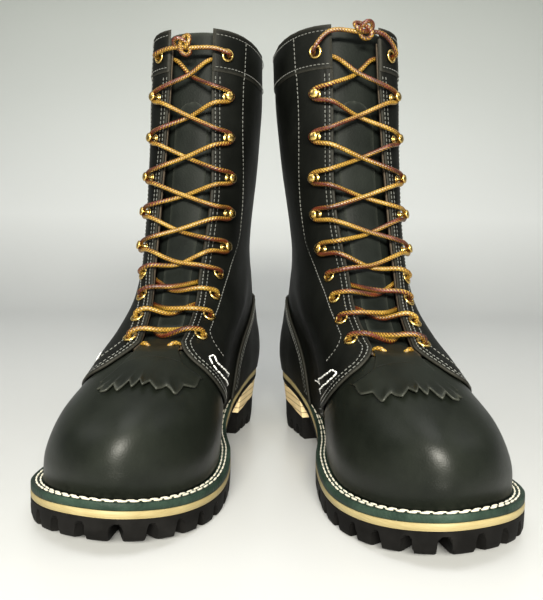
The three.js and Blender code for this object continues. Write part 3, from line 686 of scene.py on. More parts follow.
BLACK = leather(
    "black_leather", (0.0025, 0.0028, 0.0024), (0.006, 0.0066, 0.0056), (0.045, 0.043, 0.035),
    roughness=0.47, grain=0.24, specular=0.06,
)
VAMP_BLACK = leather(
    "vamp_leather", (0.0042, 0.0052, 0.0038), (0.009, 0.0108, 0.008), (0.05, 0.052, 0.042),
    roughness=0.34, grain=0.13, specular=0.17,
)
TONGUE_BLACK = leather(
    "tongue_leather", (0.004, 0.005, 0.0042), (0.009, 0.011, 0.009), (0.06, 0.065, 0.055),
    roughness=0.5, scale=700.0, specular=0.08,
)
LINING = leather(
    "lining_leather", (0.030, 0.022, 0.015), (0.055, 0.042, 0.030), (0.09, 0.07, 0.05),
    roughness=0.6, grain=0.5, scale=500.0,
)
WELT_GREEN = leather(
    "welt_leather", (0.005, 0.012, 0.008), (0.028, 0.05, 0.036), (0.07, 0.1, 0.075),
    roughness=0.58, grain=1.0, scale=420.0,
)
INSOLE_LEATHER = leather(
    "insole_leather", (0.30, 0.19, 0.10), (0.46, 0.32, 0.19), (0.5, 0.36, 0.22), roughness=0.62, grain=0.4,
)
SOLE_EDGE = cut_leather("sole_leather", (0.20, 0.15, 0.056), (0.31, 0.256, 0.122))
LIFT_EDGE = cut_leather("lift_leather", (0.54, 0.38, 0.17), (0.80, 0.64, 0.37), layers=0.0052)
LUG_RUBBER = rubber("lug_rubber", (0.0036, 0.0034, 0.0032), 0.62)
GREY_THREAD = thread("grey_thread", (0.095, 0.098, 0.085))
CREAM_THREAD = thread("cream_thread", (0.62, 0.58, 0.45))
WHITE_THREAD = thread("white_thread", (0.86, 0.86, 0.82))
CORD = braided_cord("lace_cord")
BRASS = metal("brass", (0.82, 0.56, 0.17), 0.24)
STEEL = metal("shank_steel", (0.5, 0.5, 0.51), 0.4)


def finish_piece(boot, obj, material, node_name=None, body="boot"):
    obj.data.materials.append(material)
    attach(obj, f"{boot.name}_{body}")
    if node_name:
        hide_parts(f"{boot.name}_{node_name}")


# ------------------------------------------------------------------ upper


def front_edge(boot, side):
    def edge(t):
        above, below = np.maximum(t, THROAT_TOP), np.minimum(t, THROAT_TOP)
        facing = boot.front_angle(above, side * FACING_GAP(above))
        wing = INSIDE_WING(below) if side > 0 else OUTSIDE_WING(below)
        return np.where(t >= THROAT_TOP, facing, wing)

    return edge


def build_upper(boot):
    def panel(name, material, node_name, start, end, rows, across, inner, outer, **details):
        piece = Panel(boot, start, end, rows, across).build(name, inner, outer, **details)
        finish_piece(boot, piece, material, node_name)

    # Vamp: its sides run under the wings, skived thin.
    start, end = (lambda t: OUTSIDE_WING(t) - 14 * (1 - t)), (lambda t: INSIDE_WING(t) + 14 * (1 - t))
    rows = rows_between(0, VAMP_TOP, 60)
    vamp = Panel(boot, start, end, rows, 120)
    past = np.maximum(vamp.theta - INSIDE_WING(vamp.t), OUTSIDE_WING(vamp.t) - vamp.theta)
    skived = 1.4 * clamp01((past + 1) / 2)
    panel("vamp_leather", VAMP_BLACK, "vamp", start, end, rows, 120, -2.2, -skived, edges=("top",))

    # Quarters: wings in front, facings up the throat.
    for hand, side in (("medial", 1), ("lateral", -1)):
        lower, upper = rows_between(0, 0.38, 70, fine_high=False), rows_between(0.38, QUARTER_TOP, 60)
        rows = np.unique(np.concatenate([lower, upper]))
        front, back = front_edge(boot, side), lambda t: np.full(t.shape, 179.7 * side)
        start, end, seam = (front, back, "start") if side > 0 else (back, front, "end")
        panel(
            f"quarter_{hand}_leather", BLACK, f"quarter_{hand}", start, end, rows, 90, 0.3, QUARTER_OUTER,
            edges=(seam, "top"), grooves=[(seam, inset) for inset in TWIN_SEAM],
        )

    # Counter over the heel, with a softly skived upper edge.
    edge = spline(COUNTER_EDGE)
    panel(
        "counter_leather", BLACK, "counter", edge, lambda t: 360 - edge(t), rows_between(0, COUNTER_TOP, 40),
        90, 2.6, OVERLAY_OUTER,
        grooves=[(side, inset) for inset in COUNTER_SEAM for side in ("start", "end", "top")],
    )

    # Backstay and collar band.
    start, end = (lambda t: 180 - BACKSTAY_HALF(t)), (lambda t: 180 + BACKSTAY_HALF(t))
    panel(
        "backstay_leather", BLACK, "backstay", start, end, rows_between(0.372, 0.93, 60), 14, 2.5,
        OVERLAY_OUTER - 0.4, grooves=(("start", 2.6), ("end", 2.6)),
    )
    inside, outside = front_edge(boot, 1), front_edge(boot, -1)
    panel(
        "collar_leather", BLACK, "collar_band", inside, lambda t: 360 + outside(t),
        rows_between(COLLAR_SEAM, 1, 14, fine_low=True), 150, 2.35, 3.3,
        edges=("start", "end", "top", "bottom"), grooves=(("bottom", 2.6), ("top", 3.0)),
    )

    # Lining strips behind the facings carry the eyelets.
    def behind_facing(side, inset):
        return lambda t: boot.front_angle(t, side * (FACING_GAP(np.maximum(t, THROAT_TOP)) + inset))

    for hand, side in (("medial", 1), ("lateral", -1)):
        start, end = [behind_facing(side, inset) for inset in (0.4, 17.5)[::side]]
        rows = rows_between(0.362, 0.975, 60, fine_low=True)
        panel(f"facing_lining_{hand}", LINING, f"eyelet_strip_{hand}", start, end, rows, 14, -2.6, -0.2)
        build_eyelets(boot, hand, side)
        build_hooks(boot, hand, side)

    build_tongue(boot)
    build_kiltie(boot)


EYELET_PROFILE = [
    (3.0, -2.6), (4.2, -2.6), (4.5, -2.2), (3.7, -1.8), (3.7, 0.35), (4.9, 0.35), (5.3, 0.75),
    (5.2, 1.3), (4.5, 1.75), (3.7, 1.75), (3.1, 1.2), (3.0, 0.4), (3.0, -2.6),
]


def build_eyelets(boot, hand, side):
    parts = []
    for row, x in [*EYELETS, TOP_EYELET]:
        theta = boot.front_angle(row, side * x)
        surface = 3.3 if row > COLLAR_SEAM else QUARTER_OUTER
        profile = [(r, h + surface if h > -1 else h - 1) for r, h in EYELET_PROFILE]
        points, faces = lathe(profile, 28)
        parts.append((stand_on(points, boot.point(theta, row), boot.normal(theta, row)), faces))
    points, faces = join_parts(parts)
    piece = make_mesh(f"eyelets_{hand}", points, faces, boot)
    finish_piece(boot, piece, BRASS)


HOOK_PROFILE = [
    (0.01, 0.0), (3.1, 0.0), (3.3, 0.25), (3.1, 0.6), (2.7, 0.85), (2.1, 1.1), (1.75, 1.7), (1.65, 3.4),
    (1.75, 5.0), (2.3, 5.9), (3.2, 6.2), (3.55, 6.6), (3.5, 7.1), (2.9, 7.6), (1.8, 7.95), (0.01, 8.1),
]


def build_hooks(boot, hand, side):
    for i, (row, x) in enumerate(HOOKS):
        theta = boot.front_angle(row, side * x)
        points, faces = lathe(HOOK_PROFILE, 24)
        points = stand_on(points, boot.skin(theta, row, QUARTER_OUTER + 0.1), boot.normal(theta, row))
        piece = make_mesh(f"curled_hook_{hand}_{i + 1}", points, faces, boot)
        finish_piece(boot, piece, BRASS, f"hook_{hand}_{i + 1}")


def build_tongue(boot):
    half = spline([(0.37, 17), (0.45, 21), (0.55, 27), (0.7, 33), (1, 34)])
    left, right = [(lambda t, side=side: boot.front_angle(t, side * half(t))) for side in (-1, 1)]
    tongue = Panel(boot, left, right, rows_between(0.37, 1.0, 70), 40)
    piece = tongue.build("tongue_leather", -11.4, -8.9, grooves=(("start", 3), ("end", 3)))
    finish_piece(boot, piece, TONGUE_BLACK, "tongue", "tongue_body")
    top = 0.875

    def pad_edge(side):
        def place(t):
            round_top = np.sqrt(clamp01(1 - ((t - 0.82) / (top - 0.82)).clip(0, 1) ** 2)) * 0.5 + 0.02
            return boot.front_angle(t, side * half(t) * np.minimum(0.5, round_top))
        return place

    rows = rows_between(0.44, top, 60)
    pad = Panel(boot, pad_edge(-1), pad_edge(1), rows, 30)
    piece = pad.build("tongue_pad", -9.4, -7.7)
    finish_piece(boot, piece, TONGUE_BLACK, body="tongue_body")


FRINGE_POINTS, FRINGE_LOW, FRINGE_BITE, FRINGE_CURL = 8, 0.249, 0.017, 2.4


def build_kiltie(boot):
    """A fan of leather under the lowest lace. Rows bend down at the sides to a straight fold."""
    drop = spline([(0.2, 0), (0.33, 0), (0.35, 0), (0.365, -1), (0.38, -2.6), (0.4, -4.4)])
    upper_part = [(0.31, 20.5), (0.334, 17), (0.352, 14), (0.38, 12), (0.39, 10), (0.398, 5.5)]
    inner_side = spline([(0.22, 29), (0.25, 28), (0.275, 25), *upper_part])
    outer_side = spline([(0.22, 37), (0.25, 34), (0.275, 27), *upper_part])

    def place(row, across):
        x = np.where(across > 0, inner_side(row), outer_side(row)) * across
        fold = KILTIE_BEND * np.minimum(np.abs(x), KILTIE_FOLD_HALF) ** 2
        t = row - fold * clamp01((KILTIE_TOP - row) / (KILTIE_TOP - KILTIE_HINGE))
        theta = boot.front_angle(t, x)
        return boot.point(theta, t), boot.normal(theta, t), drop(t)

    across = np.concatenate([[-1, -0.98, -0.95], np.linspace(-0.9, 0.9, 40), [0.95, 0.98, 1]])[None, :]
    rows = rows_between(KILTIE_HINGE - 0.001, KILTIE_TOP + 0.002, 26)[:, None]
    base, out, sunk = place(rows, across)
    edge = 0.5 * np.exp(-(1 - np.abs(across)) / 0.03) + 0.0 * rows
    outer, inner = base + out * (2.4 + sunk - edge)[..., None], base + out * (0.7 + sunk)[..., None]
    points, faces = closed_sheet(outer, inner)
    piece = make_mesh("kiltie_tab", points, faces, boot, attributes={"wear": np.tile(edge.ravel(), 2)})
    finish_piece(boot, piece, VAMP_BLACK, "kiltie")

    # The lower edge is pinked into uneven points that curl a little off the vamp.
    columns = np.linspace(-1, 1, FRINGE_POINTS * 12 + 1)
    phase = (columns + 1) / 2 * FRINGE_POINTS + 0.18 * np.sin(columns * 7)
    saw = np.abs(phase % 1 - 0.5) * 2
    bottom = FRINGE_LOW + FRINGE_BITE * saw**1.1 + 0.012 * columns**2 - 0.006 * columns
    share = (np.linspace(0, 1, 36) ** 0.8)[:, None]
    base, out, sunk = place(mix(bottom[None, :], KILTIE_HINGE, share), columns[None, :] + 0.0 * share)
    ripple = 0.5 + 0.35 * np.sin(columns * 9 + 0.7) + 0.3 * np.sin(columns * 23)
    lift = FRINGE_CURL * (1 - share) ** 6 * ripple[None, :] * (1 - 0.6 * columns[None, :] ** 4)
    outer = base + out * (2.5 + lift - 0.5 * np.exp(-share / 0.025))[..., None]
    inner = base + out * (0.8 + lift)[..., None]
    points, faces = closed_sheet(outer, inner)
    rubbed = np.exp(-share / 0.04) + 0.0 * columns[None, :]
    wear = np.concatenate([rubbed.ravel(), rubbed.ravel() * 0.6])
    piece = make_mesh("kiltie_pinked", points, faces, boot, attributes={"wear": wear})
    piece.data.materials.append(VAMP_BLACK)
    start = boot.world(boot.front(KILTIE_HINGE, 0, 1.5))
    end = boot.world(boot.front(KILTIE_HINGE - 0.03, 0, 1.5))
    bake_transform(piece)
    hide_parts(f"{boot.name}_kiltie_fringe")


# ------------------------------------------------------------------ laces


def round_hook(boot, row, x):
    """The lace turns round the outer side of a hook's neck, from below it to above it."""
    theta = boot.front_angle(row, x)
    out = boot.normal(theta, row)
    away = np.cross([0.0, 0.0, math.copysign(1.0, x)], out)
    away /= np.linalg.norm(away)
    up = np.cross(out, away) * math.copysign(1.0, x)
    middle = boot.skin(theta, row, HOOK_LACE_HEIGHT)
    below = middle + away * HOOK_LACE_SIDE - up * HOOK_LACE_HALF
    above = middle + away * HOOK_LACE_SIDE + up * HOOK_LACE_HALF
    return [below, middle + away * HOOK_LACE_REACH, above]


# Distances of the lace from the upper: inside the boot, through an eyelet, over and under the
# facing's edge, and at the knot. Where two runs cross, one lies above the other.
LACE_BEHIND, LACE_IN_EYELET, LACE_OVER_EDGE, LACE_UNDER_EDGE, LACE_AT_KNOT = -5.7, 3.7, 7.7, -4.6, 7.8
LACE_CROSSING = {1: 2.7, -1: -2.1}


def lace_half(boot, side, over, knot_row):
    """Places along one half of the lace, from a lowest eyelet up to the knot."""
    at, points = boot.front, []
    stops = [("eyelet", *stop) for stop in EYELETS] + [("hook", *stop) for stop in HOOKS]
    stops.append(("eyelet", *TOP_EYELET))
    for i, (kind, row, x) in enumerate(stops):
        hand = side if i % 2 == 0 else -side
        facing = OVERLAY_OUTER if row > COLLAR_SEAM else QUARTER_OUTER
        if kind == "eyelet":
            if i > 0:
                points.append(at(row, hand * x, LACE_BEHIND))
            points.append(at(row, hand * x, facing + LACE_IN_EYELET))
        else:
            points += round_hook(boot, row, hand * x)
        gap = float(FACING_GAP(row))
        if i == len(stops) - 1:
            points.append(at(knot_row, hand * (gap + 1), LACE_AT_KNOT))
            break
        next_kind, next_row, _ = stops[i + 1]
        next_gap = float(FACING_GAP(next_row))
        points.append(at(mix(row, next_row, 0.2), hand * (gap + 1), LACE_OVER_EDGE))
        points.append(at((row + next_row) / 2, 0, LACE_CROSSING[over]))
        if next_kind == "hook":
            points.append(at(mix(row, next_row, 0.8), -hand * (next_gap + 1), LACE_OVER_EDGE))
        else:
            points.append(at(mix(row, next_row, 0.9), -hand * (next_gap - 2.5), LACE_UNDER_EDGE))
    return points


SLOT_LACES, SLOT_ROW, SLOT_LACE_RADIUS = (("lateral", -8.5), ("medial", 9.5)), 0.372, 1.45


def build_lace(boot):
    knot_row = KNOT_ROW[boot.name]
    inside, outside = lace_half(boot, 1, -1, knot_row), lace_half(boot, -1, 1, knot_row)
    row, x = EYELETS[0]
    bar = [boot.front(row, place, LACE_BEHIND) for place in (-x, -8, 8, x)]
    centre = boot.front(knot_row, KNOT["x"], KNOT["distance"])
    path = smooth_path([centre, *reversed(outside), *bar, *inside, centre + np.array([0, 0, 1.0])], 7)
    piece = tube("lace_cord", path, LACE_RADIUS, boot)
    finish_piece(boot, piece, CORD, "lace")
    # A short run of lace shows at each slot in the kiltie.
    for hand, x in SLOT_LACES:
        path = [
            boot.front(SLOT_ROW + 0.0006 * step * np.sign(x), x + step, 1.9 - 0.26 * step**2)
            for step in np.linspace(-3.4, 3.4, 9)
        ]
        piece = tube(f"lace_at_slot_{hand}", path, SLOT_LACE_RADIUS, boot)
        finish_piece(boot, piece, CORD)
    turn = np.linspace(0, 2 * math.pi, 110, endpoint=False)
    knot = np.stack([
        np.sin(turn) + 2 * np.sin(2 * turn),
        -np.sin(3 * turn) * 0.85,
        np.cos(turn) - 2 * np.cos(2 * turn),
    ], -1) * KNOT_SHAPE[boot.name]
    c, s = math.cos(KNOT_TILT[boot.name]), math.sin(KNOT_TILT[boot.name])
    knot = knot @ np.array([[c, 0, s], [0, 1, 0], [-s, 0, c]])
    piece = tube("lace_knot", centre + knot + np.array([0, -1.0, 2.5]), LACE_RADIUS, boot, closed=True)
    finish_piece(boot, piece, CORD)


# ------------------------------------------------------------------ sole unit


def sole_edge(y):
    return mix(FOREFOOT_EDGE, HEEL_EDGE, clamp01((y + 60) / 45))


def outline_points(theta, margin):
    """Places round the sole that stand out from the foot's outline by a margin."""
    here = foot_outline(theta % 360)
    ahead, behind = foot_outline((theta + 2) % 360), foot_outline((theta - 2) % 360)
    out = np.stack([ahead[..., 1] - behind[..., 1], behind[..., 0] - ahead[..., 0]], -1)
    out /= np.linalg.norm(out, axis=-1, keepdims=True)
    return here + out * (margin(here[..., 1]) if callable(margin) else np.asarray(margin))[..., None]


def perimeter(step):
    """Angles at even steps along the foot's outline, and the distance travelled to each."""
    theta = np.linspace(0, 360, 2881)
    steps = np.linalg.norm(np.diff(foot_outline(theta % 360), axis=0), axis=1)
    run = np.concatenate([[0], np.cumsum(steps)])
    count = int(run[-1] / step)
    travelled = np.linspace(0, run[-1], count, endpoint=False)
    return np.interp(travelled, run, theta), travelled


def outline_loops(theta, levels, closing=None):
    """Loops of points round the outline: each level gives (margin, height of y)."""
    loops = []
    for margin, height in levels:
        xy = outline_points(theta, margin + 0.0 * theta)
        if closing:
            xy = np.vstack([xy, closing(xy)])
        loops.append(np.column_stack([xy, height(xy[:, 1])]))
    return loops


def rim_solid(theta, levels):
    """A solid from loops round the outline, capped at both ends by strips across it."""
    loops = outline_loops(theta, levels)
    count = len(theta)
    faces = grid_faces(len(loops), count, wrap=True)
    for start, flip in ((0, True), ((len(loops) - 1) * count, False)):
        for i in range(count // 2):
            a, b = start + i, start + i + 1
            c, d = start + (count - i - 1) % count, start + (count - i) % count
            face = (a, b, c, d) if b != c else (a, b, d)
            faces.append(face if flip else tuple(reversed(face)))
    return np.concatenate(loops), faces


def notch(travelled, pitch, width, ramp=0.8):
    """1 in the gap between lugs and 0 on a lug, along the perimeter."""
    place = np.abs((travelled / pitch) % 1 - 0.5) * pitch
    return clamp01((width / 2 - place) / ramp + 0.5)


LUG_PITCH, LUG_GAP, LUG_CUT, TREAD_DEPTH = 17.5, 5.6, 8.5, 7.8
HEEL_LUG_PITCH, HEEL_LUG_GAP, HEEL_LUG_CUT = 15.5, 5.0, 6.0


def build_sole(boot):
    theta, run = perimeter(0.8)
    around = run[-1] + run[1]
    pitch = around / round(around / LUG_PITCH)

    # Lug sole: rim lugs with arched gaps between them stand round a sunken tread.
    y = outline_points(theta, sole_edge)[:, 1]
    edge = sole_edge(y)
    forward = (y < LUG_END - 4) * 1.0
    well = forward * TREAD_DEPTH
    open_below = notch(run, pitch, LUG_GAP) * forward > 0.5

    def cut(width):
        return notch(run, pitch, width, 1.2) * forward * LUG_CUT

    def lift(closed, raised):
        return lambda v: lug_bottom(v) + np.where(open_below, raised, closed)

    def below_top(height, gap):
        return lambda v: np.minimum(lug_bottom(v) + height, lug_top(v) - gap)

    levels = [
        (-24.0, lambda v: lug_bottom(v) + well), (-23.4, lift(0.5, well)), (-22.6, lift(0.0, TREAD_DEPTH)),
        (edge - 1.8 - cut(6.0), lift(0.0, TREAD_DEPTH)), (edge - 0.9 - cut(5.8), lift(0.5, 7.9)),
        (edge - 0.2 - cut(5.0), lift(2.6, 8.0)), (edge - cut(3.8), lift(6.0, 8.2)),
        (edge - cut(2.4), below_top(8.8, 1.4)), (edge, below_top(10.2, 0.9)),
        (edge, lambda v: lug_top(v) - 0.4), (edge - 0.4, lug_top),
    ]
    points, faces = join_parts([rim_solid(theta, levels), *tread_lugs()])
    piece = make_mesh("lug_sole", points, faces, boot, smooth=False)
    finish_piece(boot, piece, LUG_RUBBER, "outsole")

    # Midsole with a trimmed, slightly rounded edge.
    low, high = (lambda v: lug_top(v) + GAP * 0.3), (lambda v: midsole_top(v) - 0.8 * (v < WELT_END))
    levels = [
        (edge - 0.5, low), (edge, lambda v: low(v) + 0.5), (edge + 0.15, lambda v: mix(low(v), high(v), 0.5)),
        (edge, lambda v: high(v) - 0.5), (edge - 0.4, high),
    ]
    piece = make_mesh("midsole_leather", *rim_solid(theta, levels), boot)
    finish_piece(boot, piece, SOLE_EDGE, "midsole")

    build_welt(boot)
    build_heel(boot)
    for hidden, material in (("insole", INSOLE_LEATHER), ("shank", STEEL), ("toe_box", LINING)):
        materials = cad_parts[f"{boot.name}_{hidden}"].data.materials
        materials.clear()
        materials.append(material)


def tread_lugs():
    """Cross-shaped lugs down the middle of the forefoot."""
    parts = []
    for row, y in enumerate(range(-192, -72, 20)):
        for x in (-12, 12) if row % 2 else (0,):
            x = x + 3 - 6 * (y + 130) / 130
            for wide, deep in ((8.0, 3.2), (3.2, 7.5)):
                corners = [(-wide, -deep), (wide, -deep), (wide, deep), (-wide, deep)]
                points = []
                for level, shrink in ((0.0, 0.88), (8.2, 1.0)):
                    for cx, cy in corners:
                        px, py = x + cx * shrink, y + cy * shrink
                        points.append((px, py, float(toe_spring(np.array(py))) + level + 0.05))
                faces = [(3, 2, 1, 0), (4, 5, 6, 7)]
                faces += [(k, (k + 1) % 4, (k + 1) % 4 + 4, k + 4) for k in range(4)]
                parts.append((np.array(points), faces))
    return parts


def welt_span(step):
    """Angles from one end of the welt, round the toe, to the other."""
    theta, _ = perimeter(step)
    signed = np.sort(np.where(theta > 180, theta - 360, theta))
    return signed[outline_points(signed, 0.0 * signed)[:, 1] < WELT_END]


WELT_STITCH = (5.6, 1.5, 0.6)


def build_welt(boot):
    theta = welt_span(1.6)
    edge = sole_edge(outline_points(theta, 0.0 * theta)[:, 1])
    low = lambda v: midsole_top(v) - 0.7
    over = lambda rise: lambda v: welt_top(v) + rise
    profile = [
        (-2.2, low), (edge - 0.5, low), (edge, lambda v: low(v) + 0.5),
        (edge, over(-0.6)), (edge - 0.5, welt_top),
        (edge - 1.6, over(0.1)), (edge * 0.57, over(-0.45)), (edge * 0.3, over(0.1)), (-2.2, welt_top),
    ]
    rings = np.stack(outline_loops(theta, profile), axis=1)
    count = len(profile)
    faces = [tuple(reversed(face)) for face in grid_faces(len(theta), count, wrap=True)]
    faces += [tuple(range(count)), tuple(reversed(range((len(theta) - 1) * count, len(theta) * count)))]
    piece = make_mesh("welt_strip", rings, faces, boot)
    finish_piece(boot, piece, WELT_GREEN, "welt")

    # Two rows of heavy cream lockstitch along the top of the welt.
    parts = []
    for share in (0.56, 0.22):
        xy = outline_points(theta[4:-4], edge[4:-4] * share)
        path = np.column_stack([xy, welt_top(xy[:, 1]) + 0.25])
        up = np.tile([0.0, 0.0, 1.0], (len(path), 1))
        parts += stitch_line(path, up, *WELT_STITCH)
    piece = make_mesh("welt_stitches", *join_parts(parts), boot)
    finish_piece(boot, piece, CREAM_THREAD)


def build_heel(boot):
    """Stacked heel: a notched rubber toplift under layered natural leather."""
    theta, run = perimeter(1.2)
    y = outline_points(theta, 0.0 * theta)[:, 1]
    keep = y > HEEL_BREAST_Y
    theta, run, y = theta[keep], run[keep], y[keep]
    edge = sole_edge(y) - 0.2

    def breast(xy):
        """Four places straight across the heel's front face."""
        return [(mix(xy[-1, 0], xy[0, 0], s), HEEL_BREAST_Y) for s in (0, 0.33, 0.67, 1)]

    def stack(levels):
        loops = outline_loops(theta, levels, breast)
        count = len(loops[0])
        faces = grid_faces(len(loops), count, wrap=True)
        faces += [tuple(reversed(range(count))), tuple(range((len(loops) - 1) * count, len(loops) * count))]
        return np.concatenate(loops), faces

    behind = (y > HEEL_BREAST_Y + 7) * 1.0
    gap = np.concatenate([notch(run, HEEL_LUG_PITCH, HEEL_LUG_GAP) * behind > 0.5, np.zeros(4, bool)])
    cut = lambda width: notch(run, HEEL_LUG_PITCH, width, 1.2) * behind * HEEL_LUG_CUT
    rise = lambda closed, raised: (lambda v: np.where(gap, raised, closed) + 0.0 * v)
    levels = [
        (edge - 5.4 - cut(5.4), rise(0.0, 7.8)), (edge - 4.7 - cut(5.0), rise(0.7, 7.9)),
        (edge - 4.2 - cut(4.4), rise(4.5, 8.0)), (edge - 3.9 - cut(3.4), rise(7.6, 8.2)),
        (edge - 3.8 - cut(2.0), rise(8.8, 8.8)), (edge - 3.6, rise(10.0, 10.0)),
        (edge - 3.0, lambda v: HEEL_RUBBER_TOP(v) - 0.5), (edge - 3.2, HEEL_RUBBER_TOP),
    ]
    piece = make_mesh("heel_rubber", *stack(levels), boot, smooth=False)
    finish_piece(boot, piece, LUG_RUBBER, "heel_toplift")
    low = lambda v: HEEL_RUBBER_TOP(v) + GAP * 0.3
    high = lambda v: SHANK_BOTTOM(v) - GAP * 0.3
    levels = [
        (edge - 3.3, low), (edge - 2.9, lambda v: low(v) + 0.4), (edge - 0.9, lambda v: high(v) - 0.4),
        (edge - 1.3, high),
    ]
    piece = make_mesh("heel_leather", *stack(levels), boot, smooth=False)
    finish_piece(boot, piece, LIFT_EDGE, "heel_lift")


# ------------------------------------------------------------------ stitching


SEAM_TURN = [(0.262, 26), (0.295, 18), (0.338, 8.5)]
WHITE_BOX = [(0.1, 110), (0.15, 93), (0.21, 73), (0.25, 62), (0.292, 54.5)]
WHITE_BOX_TOP = {"right": 0.292, "left": 0.25}
BOX_ROWS, BOX_STITCH_RADIUS = (0.0, 7.4), 0.62
COLLAR_ROWS, HEEL_ROWS, HEEL_SEAM_ANGLES = (0.933, 0.990), (0.350, 0.361), (151, 209)
SEAM_FOOT = 0.385
SEAM_REACH = spline([
    (0.383, 24), (0.438, 25.5), (0.482, 27.2), (0.528, 30), (0.565, 32), (0.608, 34.2), (0.662, 35.8),
    (0.88, 36.5), (1, 36.5),
])


def offset_edge(boot, edge, t, inset, side):
    """Angles a few millimetres inside a panel's front edge."""
    theta = edge(t)
    step = np.linalg.norm(boot.point(theta + 1, t) - boot.point(theta, t), axis=-1)
    slope = np.gradient(boot.point(theta, t), axis=0)
    slope /= np.linalg.norm(slope, axis=-1, keepdims=True)
    level = boot.point(theta + 1, t) - boot.point(theta - 1, t)
    level /= np.linalg.norm(level, axis=-1, keepdims=True)
    lean = np.sqrt(np.maximum(0.05, 1 - np.sum(slope * level, axis=-1) ** 2))
    return theta + side * inset / step / lean


def build_stitches(boot):
    def sew(theta, t, distance, radius=0.42, length=2.4, gap=1.0):
        """Stitches through places on the upper, at a distance from its surface."""
        return stitch_line(boot.skin(theta, t, distance), boot.normal(theta, t), length, gap, radius)

    grey, white = [], []
    counter_edge = spline(COUNTER_EDGE)
    for side in (1, -1):
        edge = front_edge(boot, side)
        t = np.concatenate([np.linspace(0.03, 0.375, 120), np.linspace(0.377, 0.918, 120)])
        for inset in TWIN_SEAM:
            grey += sew(offset_edge(boot, edge, t, inset, side), t, QUARTER_OUTER - 0.15)
        # Seam behind the hooks, from the collar's rim down to the wing.
        t = np.linspace(SEAM_FOOT, 0.99, 160)
        theta = boot.front_angle(t, side * SEAM_REACH(t))
        grey += sew(theta, t, np.where(t > COLLAR_SEAM, 3.2, QUARTER_OUTER + 0.1), 0.4)
        turn = spline([*[(row, theta[0] + side * beyond) for row, beyond in SEAM_TURN], (SEAM_FOOT, theta[0])])
        t = np.linspace(0.264, 0.384, 50)
        grey += sew(turn(t), t, QUARTER_OUTER + 0.1, 0.4)
        # Heavy white box where the wing is anchored to the sole.
        box = spline(WHITE_BOX if side > 0 else [(row, 8 - angle) for row, angle in WHITE_BOX])
        t = np.linspace(WHITE_BOX[0][0], WHITE_BOX_TOP[boot.name], 80)
        rows = [offset_edge(boot, box, t, inset + 0.35 * np.sin(t * 180 + inset), side) for inset in BOX_ROWS]
        for theta in rows:
            white += sew(theta, t, QUARTER_OUTER + 0.3, BOX_STITCH_RADIUS, 5.0, 1.2)
        theta = np.linspace(rows[0][-1], rows[1][-1], 12)
        white += sew(theta, t[-1], QUARTER_OUTER + 0.3, BOX_STITCH_RADIUS, 3.2, 0.8)
        # Collar, backstay and counter seams.
        start = float(edge(np.array([0.95]))[0])
        theta = np.linspace(start + side * 2.5, side * 179.9, 200)
        for height in COLLAR_ROWS:
            grey += sew(theta, height, 3.15, 0.38)
        t = np.linspace(0.38, 0.92, 120)
        grey += sew(180 + side * (BACKSTAY_HALF(t) - 4.0), t, OVERLAY_OUTER - 0.5)
        t = np.linspace(0.02, 0.352, 80)
        for inset in COUNTER_SEAM:
            theta = offset_edge(boot, counter_edge, t, inset, 1)
            grey += sew(theta if side > 0 else 360 - theta, t, OVERLAY_OUTER - 0.15)
    for height in HEEL_ROWS:
        grey += sew(np.linspace(*HEEL_SEAM_ANGLES, 60), height, OVERLAY_OUTER - 0.15)
    piece = make_mesh("grey_stitches", *join_parts(grey), boot)
    finish_piece(boot, piece, GREY_THREAD)
    piece = make_mesh("white_stitches", *join_parts(white), boot)
    finish_piece(boot, piece, WHITE_THREAD)


# ------------------------------------------------------------------ the pair

uppers = [Upper(name, **sizes) for name, sizes in BOOTS.items()]
for boot in uppers:
    build_lace(boot)
for boot in uppers:
    build_upper(boot)
    build_sole(boot)
    build_stitches(boot)

# ------------------------------------------------------------------ floor and light


# Backdrop colour by height, with painted light and shade: a lighter band low on the wall and darker towards
# the top. The floor stays nearly even.
BACKDROP_PAINTED_SHADING = [
    (0.0, (0.47, 0.475, 0.475)), (0.035, (0.47, 0.475, 0.475)), (0.1, (0.5, 0.51, 0.51)),
    (0.31, (0.7, 0.72, 0.72)), (0.55, (0.575, 0.6, 0.59)), (0.87, (0.40, 0.425, 0.405)),
]
COVE_START, COVE_RADIUS = 0.9, 0.8


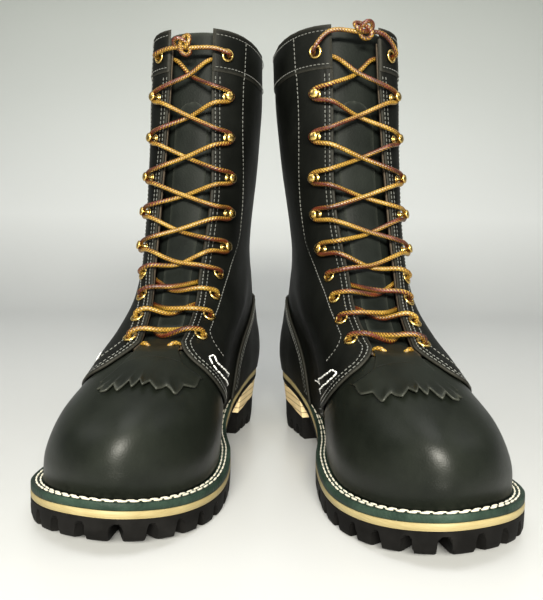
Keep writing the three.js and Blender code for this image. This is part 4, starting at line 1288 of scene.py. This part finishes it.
def build_stage():
    """A pale floor that curves up into a backdrop, under soft studio light."""
    profile = [(-4.0, 0.0), (COVE_START, 0.0)]
    for a in np.linspace(0.1, math.pi / 2, 14):
        profile.append((COVE_START + COVE_RADIUS * math.sin(a), COVE_RADIUS - COVE_RADIUS * math.cos(a)))
    profile.append((COVE_START + COVE_RADIUS, 4.0))
    rows = np.array([[(x, y, z) for x in (-5.0, 5.0)] for y, z in profile])
    piece = make_mesh("floor", rows.reshape(-1, 3), grid_faces(len(profile), 2))
    look = Look("paper_backdrop")
    axes = look.axes(look.place)
    low = look.scaled(look.noise(1.5, 2.0), 0.02, look.scaled(axes["Y"], 0.084, 0.025))
    # Painted light and shade: the wall's colour rises to a light band low down and darkens towards the top.
    painted_shading = look.ramp(look.scaled(axes["Z"], 0.7, low), BACKDROP_PAINTED_SHADING)
    material = look.finish({"Base Color": painted_shading, "Roughness": 0.3, "Specular IOR Level": 0.35})
    piece.data.materials.append(material)


def area_light(name, location, target, size, power, colour=(1, 1, 1)):
    light = bpy.data.objects.new(name, bpy.data.lights.new(name, "AREA"))
    light.data.shape = "RECTANGLE"
    light.data.size, light.data.size_y = size
    light.data.energy = power
    light.data.color = colour
    light.location = location
    light.rotation_euler = (Vector(target) - Vector(location)).to_track_quat("-Z", "Y").to_euler()
    bpy.context.scene.collection.objects.link(light)


build_stage()
area_light("overhead", (0.0, -0.5, 1.5), (0.0, -0.15, 0.0), (1.2, 0.9), 12)
area_light("key", (0.0, -1.45, 0.64), (0.0, -0.14, 0.05), (0.85, 0.16), 72, (1.0, 0.97, 0.86))
area_light("side_left", (-1.3, -0.3, 1.1), (0.0, 0.0, 0.1), (0.8, 0.8), 4)
area_light("side_right", (1.3, -0.2, 1.1), (0.0, 0.0, 0.1), (0.8, 0.8), 3.5)
area_light("backdrop", (0.0, 0.7, 1.9), (0.0, 1.6, 0.5), (2.4, 0.8), 5.5)
world = bpy.data.worlds.new("studio")
world.use_nodes = True
sky = world.node_tree.nodes["Background"].inputs
sky["Color"].default_value = (0.86, 0.90, 0.95, 1.0)
sky["Strength"].default_value = 0.14
bpy.context.scene.world = world
bpy.context.scene.view_settings.view_transform = "Standard"
